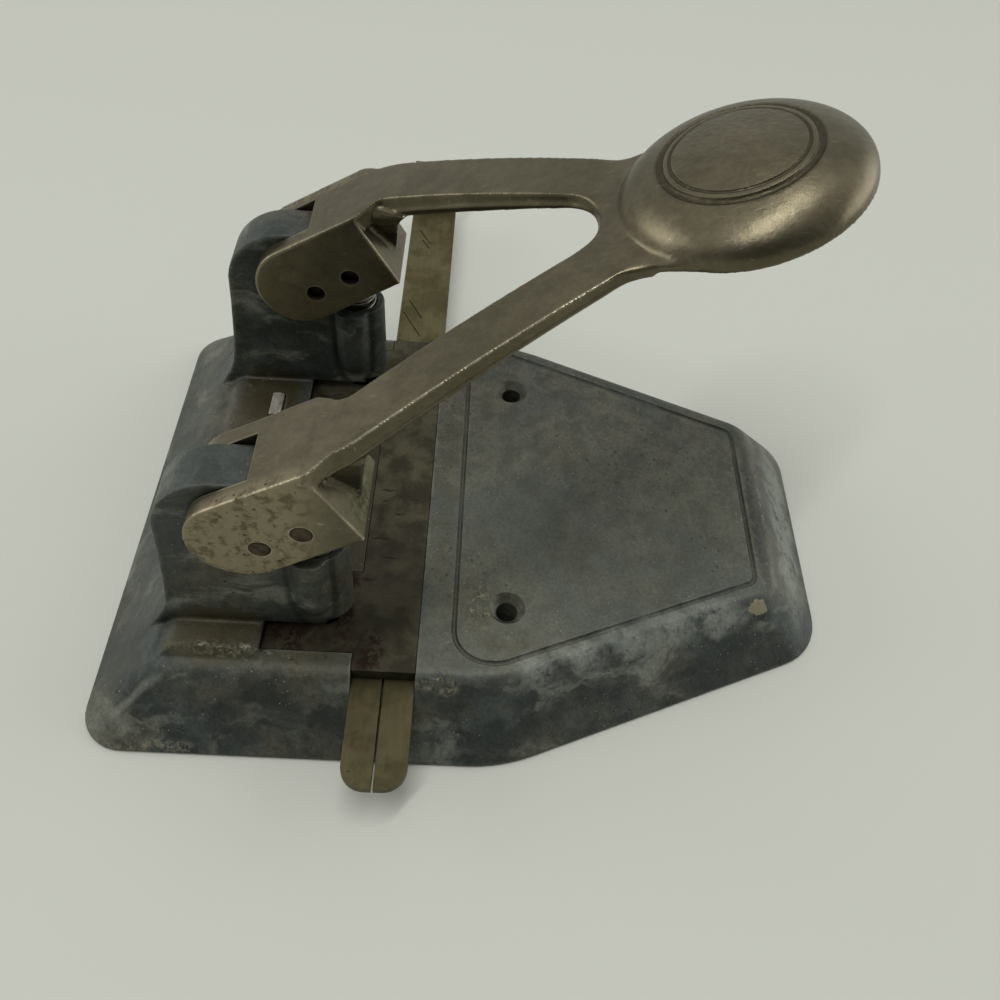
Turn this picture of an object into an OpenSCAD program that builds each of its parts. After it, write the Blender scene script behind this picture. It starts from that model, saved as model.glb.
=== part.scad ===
// Two-hole desk punch with a long palm handle and a sliding paper gauge.
// Lengths are millimetres. X runs along the line of the two punches, -Y faces
// the operator and +Z is up. The origin lies on the table, midway between the
// punches, so y = 0 is the line through both punch centres.

/* [Punching] */
// Distance between the two punch centres
hole_spacing = 69.85; // [66:0.05:76]
// Diameter of the punches
punch_d = 7; // [6:0.1:7.2]
// Distance from the punch centres to the back stop of the throat
throat_depth = 11.7; // [10.5:0.1:13]
// Clear height of the throat that the paper goes into
throat_gap = 2.2; // [1.8:0.1:2.6]
// Travel of the punches
punch_travel = 6; // [5:0.1:6.4]
// Radial clearance of a punch in its guide and in its die
punch_fit = 0.05; // [0.02:0.01:0.1]
// Depth of the hollow ground into each punch's cutting end
tip_hollow = 0.8; // [0.4:0.1:1.2]

/* [Base casting] */
// Width of the base at the table
base_w = 122.8; // [118:0.1:134]
// Distance from the punches to the rear edge at the table
base_rear = 47.4; // [45:0.1:56]
// Distance from the punches to the front of the nose at the table
nose_front = 108.1; // [104:0.1:120]
// Width of the nose at the table
nose_w = 61.2; // [54:0.1:72]
// Distance from the punches to where the sides turn in to the nose
shoulder = 37.5; // [34:0.1:42]
// Radius of the base's rear corners at the table
foot_r = 9; // [7:0.5:13]
// Radius of the nose's corners at the table
nose_r = 13; // [9:0.5:15]
// Radius of the turn from the sides to the nose
shoulder_r = 35; // [20:1:45]
// Height of the deck that the paper lies on
deck_h = 14.6; // [14:0.1:17]
// Width of the flat deck
deck_w = 98; // [96.6:0.1:103]
// Distance from the punches to the rear edge of the deck
deck_rear = 33.5; // [31.5:0.1:37]
// Distance from the punches to the front edge of the deck
deck_front = 95; // [90:0.1:99]
// Width of the deck at its front edge
deck_nose_w = 49; // [42:0.1:54]
// Corner radius of the deck
deck_r = 6; // [3:0.5:9]
// Height of the upright lip around the foot of the base
foot_lip = 1.2; // [0.8:0.1:2]
// Wall thickness of the casting
wall = 2.6; // [2:0.1:3]
// Width of the engraved line around the nose panel
groove_w = 0.8; // [0.5:0.1:1.2]
// Depth of the engraved line around the nose panel
groove_deep = 0.6; // [0.3:0.1:0.9]
// Distance of the engraved line from the edge of the deck
groove_in = 3.4; // [2:0.1:4]
// Distance from the punches to the rear run of the engraved line
groove_rear = 26.7; // [25:0.1:29]

/* [Desk screws] */
// Distance between the two desk screw holes
screw_spacing = 64.5; // [58:0.1:68]
// Distance of the desk screw holes in front of the punches
screw_front = 37.5; // [34:0.1:44]
// Diameter of the desk screw holes
screw_hole_d = 4.6; // [3.6:0.1:5]
// Diameter of the countersinks at the deck
screw_sink_d = 8; // [7:0.1:9]

/* [Towers] */
// Width of each tower
tower_w = 10; // [8:0.1:11]
// Radius of the round back of a tower
hump_r = 14; // [13:0.1:14.4]
// Distance from the punches to the centre of the round back
hump_y = 14; // [13.6:0.1:15]
// Height of the centre of the round back
hump_z = 45; // [44:0.1:46]
// Outer diameter of the spring housing in front of each tower
boss_d = 12.4; // [11.8:0.1:13]
// Height of the top of the spring housing
boss_top = 39; // [37:0.1:39.2]
// Diameter of the spring chamber
chamber_d = 9.3; // [9:0.1:9.6]
// Thickness of the chamber floor that guides the punch
guide_t = 3; // [2:0.1:4]
// Lean of the rear face of a tower, in degrees
tower_lean = 6; // [2:0.5:7]
// Radius of a tower's edges
tower_edge = 3.2; // [1:0.1:3.5]
// Length of the ledge that the paper stops against
ledge_w = 94; // [91:0.1:95]
// Depth of the ledge from the back stop to its rear edge
ledge_deep = 20; // [17:0.1:21]

/* [Die plate] */
// Length of the die plate
plate_l = 97.4; // [92:0.1:98]
// Width of the die plate
plate_w = 12.7; // [11:0.1:14]
// Distance from the punches to the rear edge of the plate's bar
plate_rear = 6.8; // [6:0.1:8]
// Thickness of the die plate
plate_t = 3; // [2.6:0.1:3.4]
// Width of the tabs under the towers
tab_w = 19.6; // [18:0.1:21]
// Gap between the die plate and its recess
plate_gap = 0.15; // [0.05:0.05:0.25]
// Thread diameter of the die plate screws
plate_screw_d = 3; // [2.5:0.1:3.4]
// Distance between the two screws of one tab
plate_screw_spacing = 13; // [11:0.1:14]
// Distance of the plate screws behind the punches
plate_screw_y = 7; // [5.5:0.1:8]
// Diameter of the chip holes below the dies
chip_hole_d = 8.4; // [7.6:0.1:9.4]

/* [Gauge bar] */
// Width of the gauge bar
bar_w = 12.7; // [11:0.1:13]
// Thickness of the gauge bar
bar_t = 1.5; // [1:0.1:1.8]
// Length of the gauge bar that stands out to the left of the punches' middle
bar_left = 71.7; // [68:0.1:78]
// Length of the gauge bar that stands out to the right of the punches' middle
bar_right = 122; // [110:0.5:130]
// Corner radius of the slit end of the gauge bar
bar_r = 4.6; // [3:0.1:5]
// Width of the slit in the gauge bar
slit_w = 0.4; // [0.3:0.1:0.8]
// Length of the slit in the gauge bar
slit_l = 52; // [40:1:60]
// Height of the turned-up paper stop above the deck
stop_rise = 7; // [5:0.5:9]
// Gap around the gauge bar in its channel
bar_gap = 0.1; // [0.05:0.05:0.15]

/* [Handle] */
// Distance of the pivot behind the punches
pivot_y = 7.7; // [7.4:0.1:8.2]
// Height of the pivot
pivot_z = 47.2; // [47:0.1:48]
// Height of the drive pins above the pivot at rest
drive_rise = 4.8; // [4.4:0.1:5]
// Diameter of the pivot pins and the drive pins
pin_d = 3.8; // [3.2:0.1:3.8]
// Depth of the pins' inner ends below the cheeks
pin_sunk_in = 1; // [0.1:0.1:1.5]
// Depth of the pins' outer ends below the cheeks
pin_sunk_out = 0.3; // [0.1:0.1:1.5]
// Radial clearance of a pivot pin in its tower
pin_fit = 0.06; // [0.02:0.01:0.1]
// Clearance between a tower and each cheek of the handle
cheek_gap = 0.33; // [0.2:0.01:0.5]
// Thickness of each cheek
cheek_t = 3.77; // [2.8:0.01:4]
// Radius of the round rear end of the cheeks
cheek_r = 9.6; // [9:0.1:10]
// Distance of the cheeks' round end behind the punches
cheek_y = 11.2; // [10.8:0.1:11.6]
// Height of the centre of the cheeks' round end
cheek_z = 48.7; // [48.4:0.1:49]
// Rise angle of the cheeks' lower edge
cheek_low_a = 32.4; // [31:0.1:34]
// Distance from the pivot to the cheeks' square front end
cheek_front = 18; // [17.6:0.1:19]
// Distance of the rear edge of the handle's top web behind the punches
web_rear = 8.6; // [8.2:0.1:9]
// Thickness of the handle's top web
web_t = 2.6; // [2.2:0.1:2.9]
// Thickness of the front wall between the cheeks
front_wall = 2.4; // [1.8:0.1:2.6]
// Height of the handle's top line above the punches' middle
line_z = 66.54; // [66.2:0.01:67]
// Slope of the handle's top line at the punches
line_slope = 0.56; // [0.52:0.01:0.6]
// Rate at which the handle's top line flattens towards the palm
line_bend = 0.0019; // [0.0015:0.0001:0.0022]
// Distance from a punch to the outer edge of its arm at the root
arm_out = 6.4; // [5.6:0.1:7.4]
// Distance from a punch to the inner edge of its arm at the root
arm_in = 5.9; // [5:0.1:6.6]
// Distance from the punches to where the arms turn in
arm_bend = 9; // [8:0.1:12]
// Depth of the arms' side flanges at the root
flange_root = 4.6; // [4:0.1:5.4]
// Depth of the arms' side flanges at the neck
flange_neck = 3.2; // [2.8:0.1:4]
// Thickness of the arms' side flanges
flange_t = 2.4; // [1.8:0.1:3]
// Width of the neck between the arms and the palm
neck_w = 32.4; // [28:0.1:36]
// Distance from the punches to the neck
neck_front = 51.5; // [49:0.1:54]
// Radius of the crotch where the arms meet
crotch_r = 10.3; // [8:0.1:10.5]
// Distance from the punches to the centre of the crotch
crotch_front = 38; // [36:0.1:38.6]

/* [Palm] */
// Radius of the palm
palm_r = 21.3; // [20:0.1:24]
// Distance from the punches to the middle of the palm
palm_front = 71.2; // [70:0.1:74]
// Height of the middle of the palm's rim
palm_z = 96.8; // [96:0.1:98]
// Forward rise of the palm
palm_tilt = 21; // [18:0.5:23]
// Rise of the palm's crown above its rim
palm_crown = 8.2; // [7:0.1:10]
// Height of the upright rim under the palm
palm_rim = 1.2; // [0.8:0.1:2]
// Radius of the engraved ring on the palm
ring_r = 13.1; // [11:0.1:14]
// Wall thickness of the palm
palm_t = 3; // [2.4:0.1:3.6]

/* [Springs] */
// Wire diameter of the punch springs
wire_d = 0.8; // [0.6:0.05:0.85]
// Number of turns of the punch springs
spring_turns = 7; // [5:0.5:8]
// Thickness of the spring washers
washer_t = 0.8; // [0.5:0.1:1]
// Thickness of the punch clips
clip_t = 0.8; // [0.6:0.1:1]
// Height of the washers above the spring housings at rest
washer_rise = 2.5; // [2:0.1:3]

/* [Bottom cover] */
// Thickness of the bottom cover sheet
cover_t = 0.8; // [0.6:0.1:1.2]
// Gap between the cover and the casting's wall
cover_gap = 0.4; // [0.4:0.1:0.8]
// Height of the cover's turned-up rim
cover_rim = 2.2; // [1.8:0.1:3]
// Width of the front tongue that holds the cover in the nose
tongue_w = 20; // [12:1:24]
// Distance of the spring catches from the middle
catch_x = 20.6; // [18:0.1:22]
// Distance of the spring catches behind the punches
catch_y = 17.6; // [17:0.1:19]
// Width of the spring catches
catch_w = 7; // [5:0.1:8]
// Thickness of the spring catches
catch_t = 0.7; // [0.5:0.1:1]
// Overhang of the hook at the top of each catch
catch_hook = 2; // [1.8:0.1:2.4]
// Length of the slots that the catches pass through
slot_long = 9.2; // [8.6:0.1:10]
// Width of the slots that the catches pass through
slot_wide = 3.4; // [2.6:0.1:3.6]
// Diameter of the rivets that hold the catches
rivet_d = 2.4; // [2:0.1:3]

/* [Hidden] */
$fn = 64;
eps = 0.01;
left = -1;
right = 1;
half = hole_spacing / 2;
cast_colour = [0.42, 0.45, 0.47];
nickel_colour = [0.60, 0.57, 0.52];
steel_colour = [0.50, 0.47, 0.41];
dark_colour = [0.28, 0.26, 0.25];
bright_colour = [0.78, 0.78, 0.76];

punch_r = punch_d / 2;
pin_r = pin_d / 2;
throat_z = deck_h + throat_gap;
plate_z = deck_h - plate_t;
bar_z = plate_z - bar_gap - bar_t;
channel_w = bar_w + 2 * bar_gap;
bar_y = -plate_rear - plate_w / 2;
drive_z = pivot_z + drive_rise;
lever = norm([pivot_y, drive_rise]);
cheek_in = tower_w / 2 + cheek_gap;
cheek_out = cheek_in + cheek_t;
tip_clear = 0.2;
tip_z = throat_z + tip_clear;
floor_z = throat_z + guide_t;
washer_z = boss_top + washer_rise;
clip_z = washer_z + washer_t;
washer_r = chamber_d / 2 - 0.15;
spring_r = punch_r + 0.1 + wire_d;
screw_head_h = 1.8;
bed_t = 3;

// The vectors and the arc that round one corner of an outline
function unit(v) = v / norm(v);
function corner_arc(before, at, after, r, steps) =
    let (u = unit(before - at), v = unit(after - at), open = acos(u * v),
         middle = at + unit(u + v) * r / sin(open / 2),
         from = at + u * r / tan(open / 2) - middle,
         to = at + v * r / tan(open / 2) - middle,
         start = atan2(from[1], from[0]), raw = atan2(to[1], to[0]) - start,
         sweep = raw > 180 ? raw - 360 : raw < -180 ? raw + 360 : raw)
    [for (i = [0:steps]) middle + r * [cos(start + sweep * i / steps), sin(start + sweep * i / steps)]];

// Rounds each corner of an outline of [x, y, radius] points
function rounded(points, steps = 8) =
    let (n = len(points), xy = [for (p = points) [p[0], p[1]]])
    [for (i = [0:n - 1]) each points[i][2] <= 0 ? [xy[i]]
        : corner_arc(xy[(i + n - 1) % n], xy[i], xy[(i + 1) % n], points[i][2], steps)];

// Moves each side of an anticlockwise outline inwards by the distance d
function inset(points, d) =
    let (n = len(points), xy = [for (p = points) [p[0], p[1]]])
    [for (i = [0:n - 1])
        let (u = unit(xy[(i + n - 1) % n] - xy[i]), v = unit(xy[(i + 1) % n] - xy[i]),
             turn = v[0] * u[1] - v[1] * u[0], at = xy[i] + (u + v) * d / turn)
        [at[0], at[1], max(points[i][2] - d * sign(turn), 0.5)]];

// The plan of the base: straight sides and rear, and a nose that narrows to the front
function base_plan(w, rear, turn, front, nose, rear_r, turn_r, front_r) = [
    [-w / 2, rear, rear_r], [-w / 2, -turn, turn_r], [-nose / 2, -front, front_r],
    [nose / 2, -front, front_r], [w / 2, -turn, turn_r], [w / 2, rear, rear_r]];
foot_plan = base_plan(base_w, base_rear, shoulder, nose_front, nose_w, foot_r, shoulder_r, nose_r);
deck_plan = base_plan(deck_w, deck_rear, shoulder, deck_front, deck_nose_w, deck_r, shoulder_r, deck_r);

// Skin over outlines of equally many points, given from the lowest to the highest
function at_height(outline, z) = [for (p = outline) [p[0], p[1], z]];
module loft(rings) {
    n = len(rings[0]);
    last = len(rings) - 1;
    polyhedron([for (ring = rings) each ring], concat(
        [[for (i = [0:n - 1]) i]],
        [[for (i = [n - 1:-1:0]) last * n + i]],
        [for (k = [0:last - 1], i = [0:n - 1]) [k * n + i, (k + 1) * n + i, (k + 1) * n + (i + 1) % n]],
        [for (k = [0:last - 1], i = [0:n - 1]) [k * n + i, (k + 1) * n + (i + 1) % n, k * n + (i + 1) % n]]),
        convexity = 10);
}

// Solid between the foot and deck outlines, both moved in by the distance d
module base_block(d, top) {
    foot = rounded(inset(foot_plan, d));
    deck = rounded(inset(deck_plan, d));
    loft([at_height(foot, 0), at_height(foot, foot_lip), at_height(deck, top)]);
}

// Repeats its children at both punches
module at_punches() {
    for (side = [left, right]) translate([side * half, 0, 0]) children();
}

// Stands a profile drawn in (y, z) up along X, centred on x = 0
module along_x(width) {
    rotate([90, 0, 90]) translate([0, 0, -width / 2]) linear_extrude(width) children();
}

// Side view of the part of a tower that stands over the throat
tower_front = chamber_d / 2 - 0.45;
tower_top = hump_z + hump_r;
lean_z = hump_z - 3;
tower_foot = hump_y + hump_r + (lean_z - deck_h - 6) * tan(tower_lean);
tower_side = [[0, throat_z], [0, boss_top], [tower_front, boss_top],
    [tower_front, tower_top - 3.4], [tower_front + 3.4, tower_top], [2 * tower_top, tower_top],
    [2 * tower_top, deck_h - wall], [throat_depth, deck_h - wall], [throat_depth, throat_z]];

// Outline of a tower's section, from a straight front to a back with rounded corners
module tower_section(from, to) {
    polygon(rounded([[from, -tower_w / 2, 0], [to, -tower_w / 2, tower_edge],
        [to, tower_w / 2, tower_edge], [from, tower_w / 2, 0]], 6));
}

module tower() {
    intersection() {
        along_x(tower_w) polygon(tower_side);
        union() {
            // Round back
            translate([0, hump_y, hump_z]) rotate([0, 90, 0]) rotate([0, 0, 90])
                rotate_extrude(angle = 90) tower_section(0, hump_r);
            // Straight top in front of the round back
            translate([0, hump_y, 0]) rotate([90, 0, 0]) linear_extrude(2 * hump_y)
                rotate([0, 0, 90]) tower_section(0, tower_top);
            // Upright back below it, and the leaning back below that
            translate([0, hump_y, 0]) linear_extrude(hump_z) rotate([0, 0, 90])
                tower_section(-2 * hump_r, hump_r);
            translate([0, hump_y + hump_r, lean_z]) rotate([tower_lean, 0, 0]) translate([0, 0, -hump_z])
                linear_extrude(hump_z) rotate([0, 0, 90]) tower_section(-2 * hump_r, 0);
        }
    }
    // Foot that spreads on to the ledge behind the tower
    along_x(tower_w) polygon([[hump_y, deck_h - wall], [hump_y, deck_h + 9], [tower_foot - 0.5, deck_h + 9],
        [tower_foot + 1.2, deck_h + 4], [tower_foot + 5, deck_h - 1], [tower_foot + 5, deck_h - wall]]);
    translate([0, 0, throat_z]) cylinder(d = boss_d, h = boss_top - throat_z);
}

// Spring chamber, punch guide and pivot bore of one tower
module tower_bores() {
    translate([0, 0, floor_z]) cylinder(d = chamber_d, h = tower_top);
    translate([0, 0, deck_h]) cylinder(r = punch_r + punch_fit, h = tower_top);
    translate([0, pivot_y, pivot_z]) rotate([0, 90, 0])
        cylinder(r = pin_r + pin_fit, h = 2 * tower_w, center = true);
}

// Plan of the die plate grown by the gap g: a bar with a tab under each tower
module plate_plan(g) {
    translate([-plate_l / 2 - g, -plate_rear - plate_w - g])
        square([plate_l + 2 * g, plate_w + 2 * g]);
    for (side = [left, right])
        translate([side * half - tab_w / 2 - g, -plate_rear - plate_w / 2])
            square([tab_w + 2 * g, plate_rear + plate_w / 2 + throat_depth + g]);
}

// Places its children at the four die plate screws
module at_plate_screws() {
    at_punches() for (side = [left, right])
        translate([side * plate_screw_spacing / 2, plate_screw_y, 0]) children();
}

// Places its children at the two desk screw holes
module at_desk_screws() {
    for (side = [left, right]) translate([side * screw_spacing / 2, -screw_front, 0]) children();
}

// Hollow of the base, less the beds and posts that stay solid inside it
module base_hollow() {
    bed_z = bar_z - bar_gap - wall;
    difference() {
        translate([0, 0, -eps]) base_block(wall, deck_h - wall);
        translate([-base_w / 2, -plate_rear - plate_w - 3, bed_z])
            cube([base_w, plate_w + 6, deck_h]);
        at_punches() translate([-tab_w / 2 - 2.5, -plate_rear, plate_z - bed_t])
            cube([tab_w + 5, plate_rear + throat_depth + 2.5, deck_h]);
        at_punches() translate([-tower_w / 2, throat_depth, plate_z - bed_t])
            cube([tower_w, tower_foot - throat_depth, deck_h]);
        at_desk_screws() translate([0, 0, cover_t + 0.1]) cylinder(d = screw_sink_d + 2, h = deck_h);
    }
}

// Ledge behind the throat, with a sloping rear edge
module ledge() {
    along_x(ledge_w) polygon([[throat_depth, deck_h - eps], [throat_depth, throat_z],
        [throat_depth + ledge_deep - throat_gap, throat_z], [throat_depth + ledge_deep, deck_h - eps]]);
}

// Engraved line that frames the nose panel
module panel_groove() {
    side_l = shoulder - groove_rear;
    panel = inset(base_plan(deck_w, -groove_rear + groove_in, shoulder, deck_front, deck_nose_w,
        0.7 * side_l + groove_in, 0.8 * side_l + groove_in, deck_r), groove_in);
    translate([0, 0, deck_h - groove_deep]) linear_extrude(2 * groove_deep) difference() {
        polygon(rounded(panel));
        polygon(rounded(inset(panel, groove_w)));
    }
}

module base_casting() {
    color(cast_colour) difference() {
        union() {
            difference() {
                base_block(0, deck_h);
                base_hollow();
            }
            ledge();
            at_punches() tower();
        }
        at_punches() tower_bores();
        translate([0, 0, plate_z]) linear_extrude(plate_t + eps) plate_plan(plate_gap);
        translate([-base_w, bar_y - channel_w / 2, bar_z - bar_gap])
            cube([2 * base_w, channel_w, plate_z - bar_z + bar_gap + eps]);
        for (side = [left, right]) translate([side * (plate_l / 2 + plate_gap + base_w / 2), bar_y, deck_h])
            cube([base_w, channel_w, 2 * (plate_t + bar_gap)], center = true);
        at_punches() cylinder(d = chip_hole_d, h = plate_z + eps);
        at_plate_screws() cylinder(r = plate_screw_d / 2 + 0.2, h = plate_z + eps);
        at_desk_screws() {
            cylinder(d = screw_hole_d, h = 2 * deck_h);
            translate([0, 0, deck_h - (screw_sink_d - screw_hole_d) / 2])
                cylinder(d1 = screw_hole_d, d2 = screw_sink_d + 2 * eps, h = (screw_sink_d - screw_hole_d) / 2 + eps);
        }
        for (side = [left, right]) translate([side * catch_x, catch_y, 0]) catch_slot();
        translate([0, 0, -eps]) tongue(0.3, cover_t + 0.4);
        panel_groove();
    }
}

module die_plate() {
    color(steel_colour) difference() {
        translate([0, 0, plate_z]) linear_extrude(plate_t) plate_plan(0);
        at_punches() translate([0, 0, plate_z - eps]) cylinder(r = punch_r + punch_fit, h = 2 * plate_t);
        at_plate_screws() translate([0, 0, plate_z - eps])
            cylinder(d = plate_screw_d, h = plate_t - 0.6);
    }
}

module die_plate_screws() {
    under = plate_z - bed_t;
    color(dark_colour) at_plate_screws() {
        translate([0, 0, under - screw_head_h]) difference() {
            cylinder(d = 1.8 * plate_screw_d, h = screw_head_h);
            translate([0, 0, -eps]) linear_extrude(1) square([3 * plate_screw_d, 0.7], center = true);
        }
        translate([0, 0, under - eps]) cylinder(d = plate_screw_d, h = bed_t + plate_t - 0.8);
    }
}

// Diagonal size marks cut into the top of the gauge bar: distance from the middle, width over the bar
gauge_marks = [[54.5, 5.1], [61.8, 3.9], [92.8, 2.1], [95.4, 3.1]];
mark_slope = 28;
mark_deep = 0.25;

module gauge_bar() {
    shank = [[-bar_left, -bar_w / 2, bar_r], [bar_right, -bar_w / 2, 0],
        [bar_right, bar_w / 2, 0], [-bar_left, bar_w / 2, bar_r]];
    color(steel_colour) difference() {
        union() {
            translate([0, bar_y, bar_z]) linear_extrude(bar_t) polygon(rounded(shank));
            translate([bar_right - bar_t, bar_y - bar_w / 2, bar_z])
                cube([bar_t, bar_w, deck_h + stop_rise - bar_z]);
        }
        translate([-bar_left - eps, bar_y - slit_w / 2, bar_z - eps]) cube([slit_l, slit_w, 2 * bar_t]);
        for (mark = gauge_marks) translate([mark[0], bar_y + 0.2, bar_z + bar_t]) rotate([0, 0, mark_slope])
            translate([0, 0, -mark_deep]) cube([mark[1] / sin(mark_slope), 0.35, 2 * mark_deep]);
    }
}

// Height of the handle's top line at the distance t in front of the punches
function top_line(t) = line_z + line_slope * t - line_bend * t * t;

// Band in (y, z) that follows the top line, from the depth near to the depth far below it
line_rear = 1.4;
line_front = neck_front + 10;
line_steps = 12;
function line_point(i, near, far) =
    let (t = line_rear + (line_front - line_rear) * i / line_steps)
    [-t, top_line(t) - near - (far - near) * i / line_steps];
module arm_band(root_top, neck_top, root_low, neck_low) {
    along_x(2 * base_w) polygon(concat(
        [for (i = [0:line_steps]) line_point(i, root_top, neck_top)],
        [for (i = [line_steps:-1:0]) line_point(i, root_low, neck_low)]));
}

// Plan of the two arms and the neck, and the opening between the arms
arms_plan = [
    [-half - arm_out, -line_rear, 0], [-half - arm_out + 1, -arm_bend, 12],
    [-neck_w / 2, -neck_front, 8], [-neck_w / 2, -line_front, 0],
    [neck_w / 2, -line_front, 0], [neck_w / 2, -neck_front, 8],
    [half + arm_out - 1, -arm_bend, 12], [half + arm_out, -line_rear, 0]];

// The opening between the arms, grown by the distance d: a circle and its two tangents
crotch_at = [0, -crotch_front];
arm_root = [half - arm_in, -arm_bend + 3.4];
root_way = arm_root - crotch_at;
tangent_a = atan2(root_way[1], root_way[0]) - acos(crotch_r / norm(root_way));
tangent_out = [cos(tangent_a), sin(tangent_a)];
module crotch_shape(d) {
    touch = crotch_at + (crotch_r + d) * tangent_out;
    root = arm_root + d * tangent_out;
    translate([0, 0, -1]) linear_extrude(4 * tower_top) {
        translate(crotch_at) circle(crotch_r + d);
        polygon([touch, root, [root[0], 2], [-root[0], 2], [-root[0], root[1]], [-touch[0], touch[1]]]);
    }
}

module arm_shape(d) {
    difference() {
        linear_extrude(3 * tower_top) polygon(rounded(d > 0 ? inset(arms_plan, d) : arms_plan));
        crotch_shape(d);
    }
}

// Side view of a clevis: round rear end, straight upper and lower edges, square front end
clevis_axis = [-cos(cheek_low_a), sin(cheek_low_a)];
clevis_down = [-sin(cheek_low_a), -cos(cheek_low_a)];
cheek_end = [cheek_y, cheek_z];
pivot_at = [pivot_y, pivot_z];
front_reach = cheek_front + (pivot_at - cheek_end) * clevis_axis;
upper_a = atan(line_slope) - 1.2;
upper_start = cheek_end + cheek_r * [sin(upper_a), cos(upper_a)];
front_low = cheek_end + cheek_r * clevis_down + front_reach * clevis_axis;
front_high = [-line_rear, top_line(line_rear)];

// The front wall rises from the cheeks' lower front corner and slopes back to the web
wall_high = front_high + [2.2, -web_t - 1.2];
wall_up = unit(wall_high - front_low);
wall_in = front_wall * [wall_up[1], -wall_up[0]];

// Side view of the clevis with its edges drawn in by the distance d
module clevis_side(d) {
    translate(cheek_end) circle(cheek_r - d);
    polygon([cheek_end + (cheek_r - d) * clevis_down,
        front_low - d * clevis_down - d * clevis_axis,
        front_high - d * [cos(upper_a), sin(upper_a)] - d * [0, 1],
        upper_start - d * [sin(upper_a), cos(upper_a)]]);
}

module handle_clevis() {
    inner_w = 2 * cheek_in;
    difference() {
        along_x(2 * cheek_out) clevis_side(0);
        // Space between the cheeks, under the top web and behind the front wall
        along_x(inner_w) polygon([cheek_end + [2 * cheek_r, -2 * cheek_r],
            front_low + wall_in - 1.5 * cheek_r * wall_up, wall_high + wall_in,
            [web_rear, top_line(-web_rear) - web_t], [web_rear, tower_top + cheek_r],
            cheek_end + [2 * cheek_r, 2 * cheek_r]]);
        // Hollow in front of the front wall
        along_x(inner_w) polygon([front_low + 0.6 * clevis_axis, front_high + [-3, -web_t], wall_high]);
        for (at = [pivot_at, [0, drive_z]]) translate([0, at[0], at[1]]) rotate([0, 90, 0])
            cylinder(r = pin_r, h = 4 * cheek_out, center = true);
    }
}

// The palm is a shallow oval bowl, turned over and tilted up to the front
palm_steps = 14;
function palm_curve(d) = [for (i = [0:palm_steps])
    [(palm_r - d) * cos(90 * i / palm_steps), (palm_crown - d) * sin(90 * i / palm_steps)]];
module palm_place() {
    translate([0, -palm_front, palm_z]) rotate([-palm_tilt, 0, 0]) children();
}
module palm_hollow() {
    palm_place() rotate_extrude() polygon(concat([[0, -2 * palm_rim], [palm_r - palm_t, -2 * palm_rim]],
        palm_curve(palm_t)));
}
module palm() {
    ring_z = palm_crown * sqrt(1 - pow(ring_r / palm_r, 2));
    palm_place() difference() {
        rotate_extrude() polygon(concat([[0, -palm_rim], [palm_r - 0.5, -palm_rim]], palm_curve(0)));
        for (r = [ring_r, ring_r - 2.2]) rotate_extrude() translate([r, ring_z]) circle(0.4, $fn = 6);
    }
}

module handle() {
    color(nickel_colour) {
        at_punches() handle_clevis();
        difference() {
            union() {
                difference() {
                    intersection() {
                        arm_shape(0);
                        arm_band(0, 0, flange_root, flange_neck);
                    }
                    intersection() {
                        arm_shape(flange_t);
                        arm_band(web_t, web_t - 0.2, 2 * flange_root, 2 * flange_neck);
                    }
                }
                palm();
            }
            palm_hollow();
        }
    }
}

// A plain ground pin along X, chamfered at its ends and sunk deeper into the inner cheek
module pin(side, y, z) {
    length = 2 * cheek_out - pin_sunk_in - pin_sunk_out;
    translate([side * (half + (pin_sunk_in - pin_sunk_out) / 2), y, z]) rotate([0, 90, 0])
            translate([0, 0, -length / 2]) {
        cylinder(r1 = pin_r - 0.3, r2 = pin_r, h = 0.3);
        translate([0, 0, 0.3]) cylinder(r = pin_r, h = length - 0.6);
        translate([0, 0, length - 0.3]) cylinder(r1 = pin_r, r2 = pin_r - 0.3, h = 0.3);
    }
}
module pivot_pin(side) color(dark_colour) pin(side, pivot_y, pivot_z);
module drive_pin(side) color(dark_colour) pin(side, 0, drive_z);

// The drive pin swings back from the punch line by the difference of lever and offset
pin_swing = lever - pivot_y;
slot_play = 0.3;
head_r = pin_r + slot_play + 1.4;
clip_groove = 0.6;

module punch(side) {
    color(bright_colour) translate([side * half, 0, 0]) difference() {
        union() {
            translate([0, 0, tip_z]) cylinder(r = punch_r, h = clip_z - tip_z);
            translate([0, 0, clip_z - eps]) cylinder(r = punch_r - clip_groove, h = clip_t + 2 * eps);
            translate([0, 0, clip_z + clip_t]) cylinder(r = punch_r, h = drive_z - clip_z - clip_t);
            // Rounded head
            for (y = [0, -pin_swing]) translate([0, y, drive_z]) rotate([0, 90, 0])
                cylinder(r = head_r, h = punch_d, center = true);
            translate([-punch_r, -pin_swing, drive_z - head_r]) cube([punch_d, pin_swing, 2 * head_r]);
        }
        // Level slot that lets the drive pin swing
        for (y = [0, -pin_swing]) translate([0, y, drive_z]) rotate([0, 90, 0])
            cylinder(r = pin_r + slot_play, h = 2 * punch_d, center = true);
        translate([-punch_d, -pin_swing, drive_z - pin_r - slot_play])
            cube([2 * punch_d, pin_swing, 2 * (pin_r + slot_play)]);
        // Hollow-ground cutting end
        translate([0, 0, tip_z - 2 * punch_d + tip_hollow]) rotate([0, 90, 0])
            cylinder(r = 2 * punch_d, h = 2 * punch_d, center = true, $fn = 128);
    }
}

module spring_washer(side) {
    color(bright_colour) translate([side * half, 0, washer_z]) difference() {
        cylinder(r = washer_r, h = washer_t);
        translate([0, 0, -eps]) cylinder(r = punch_r + 0.1, h = 2 * washer_t);
    }
}

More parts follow.
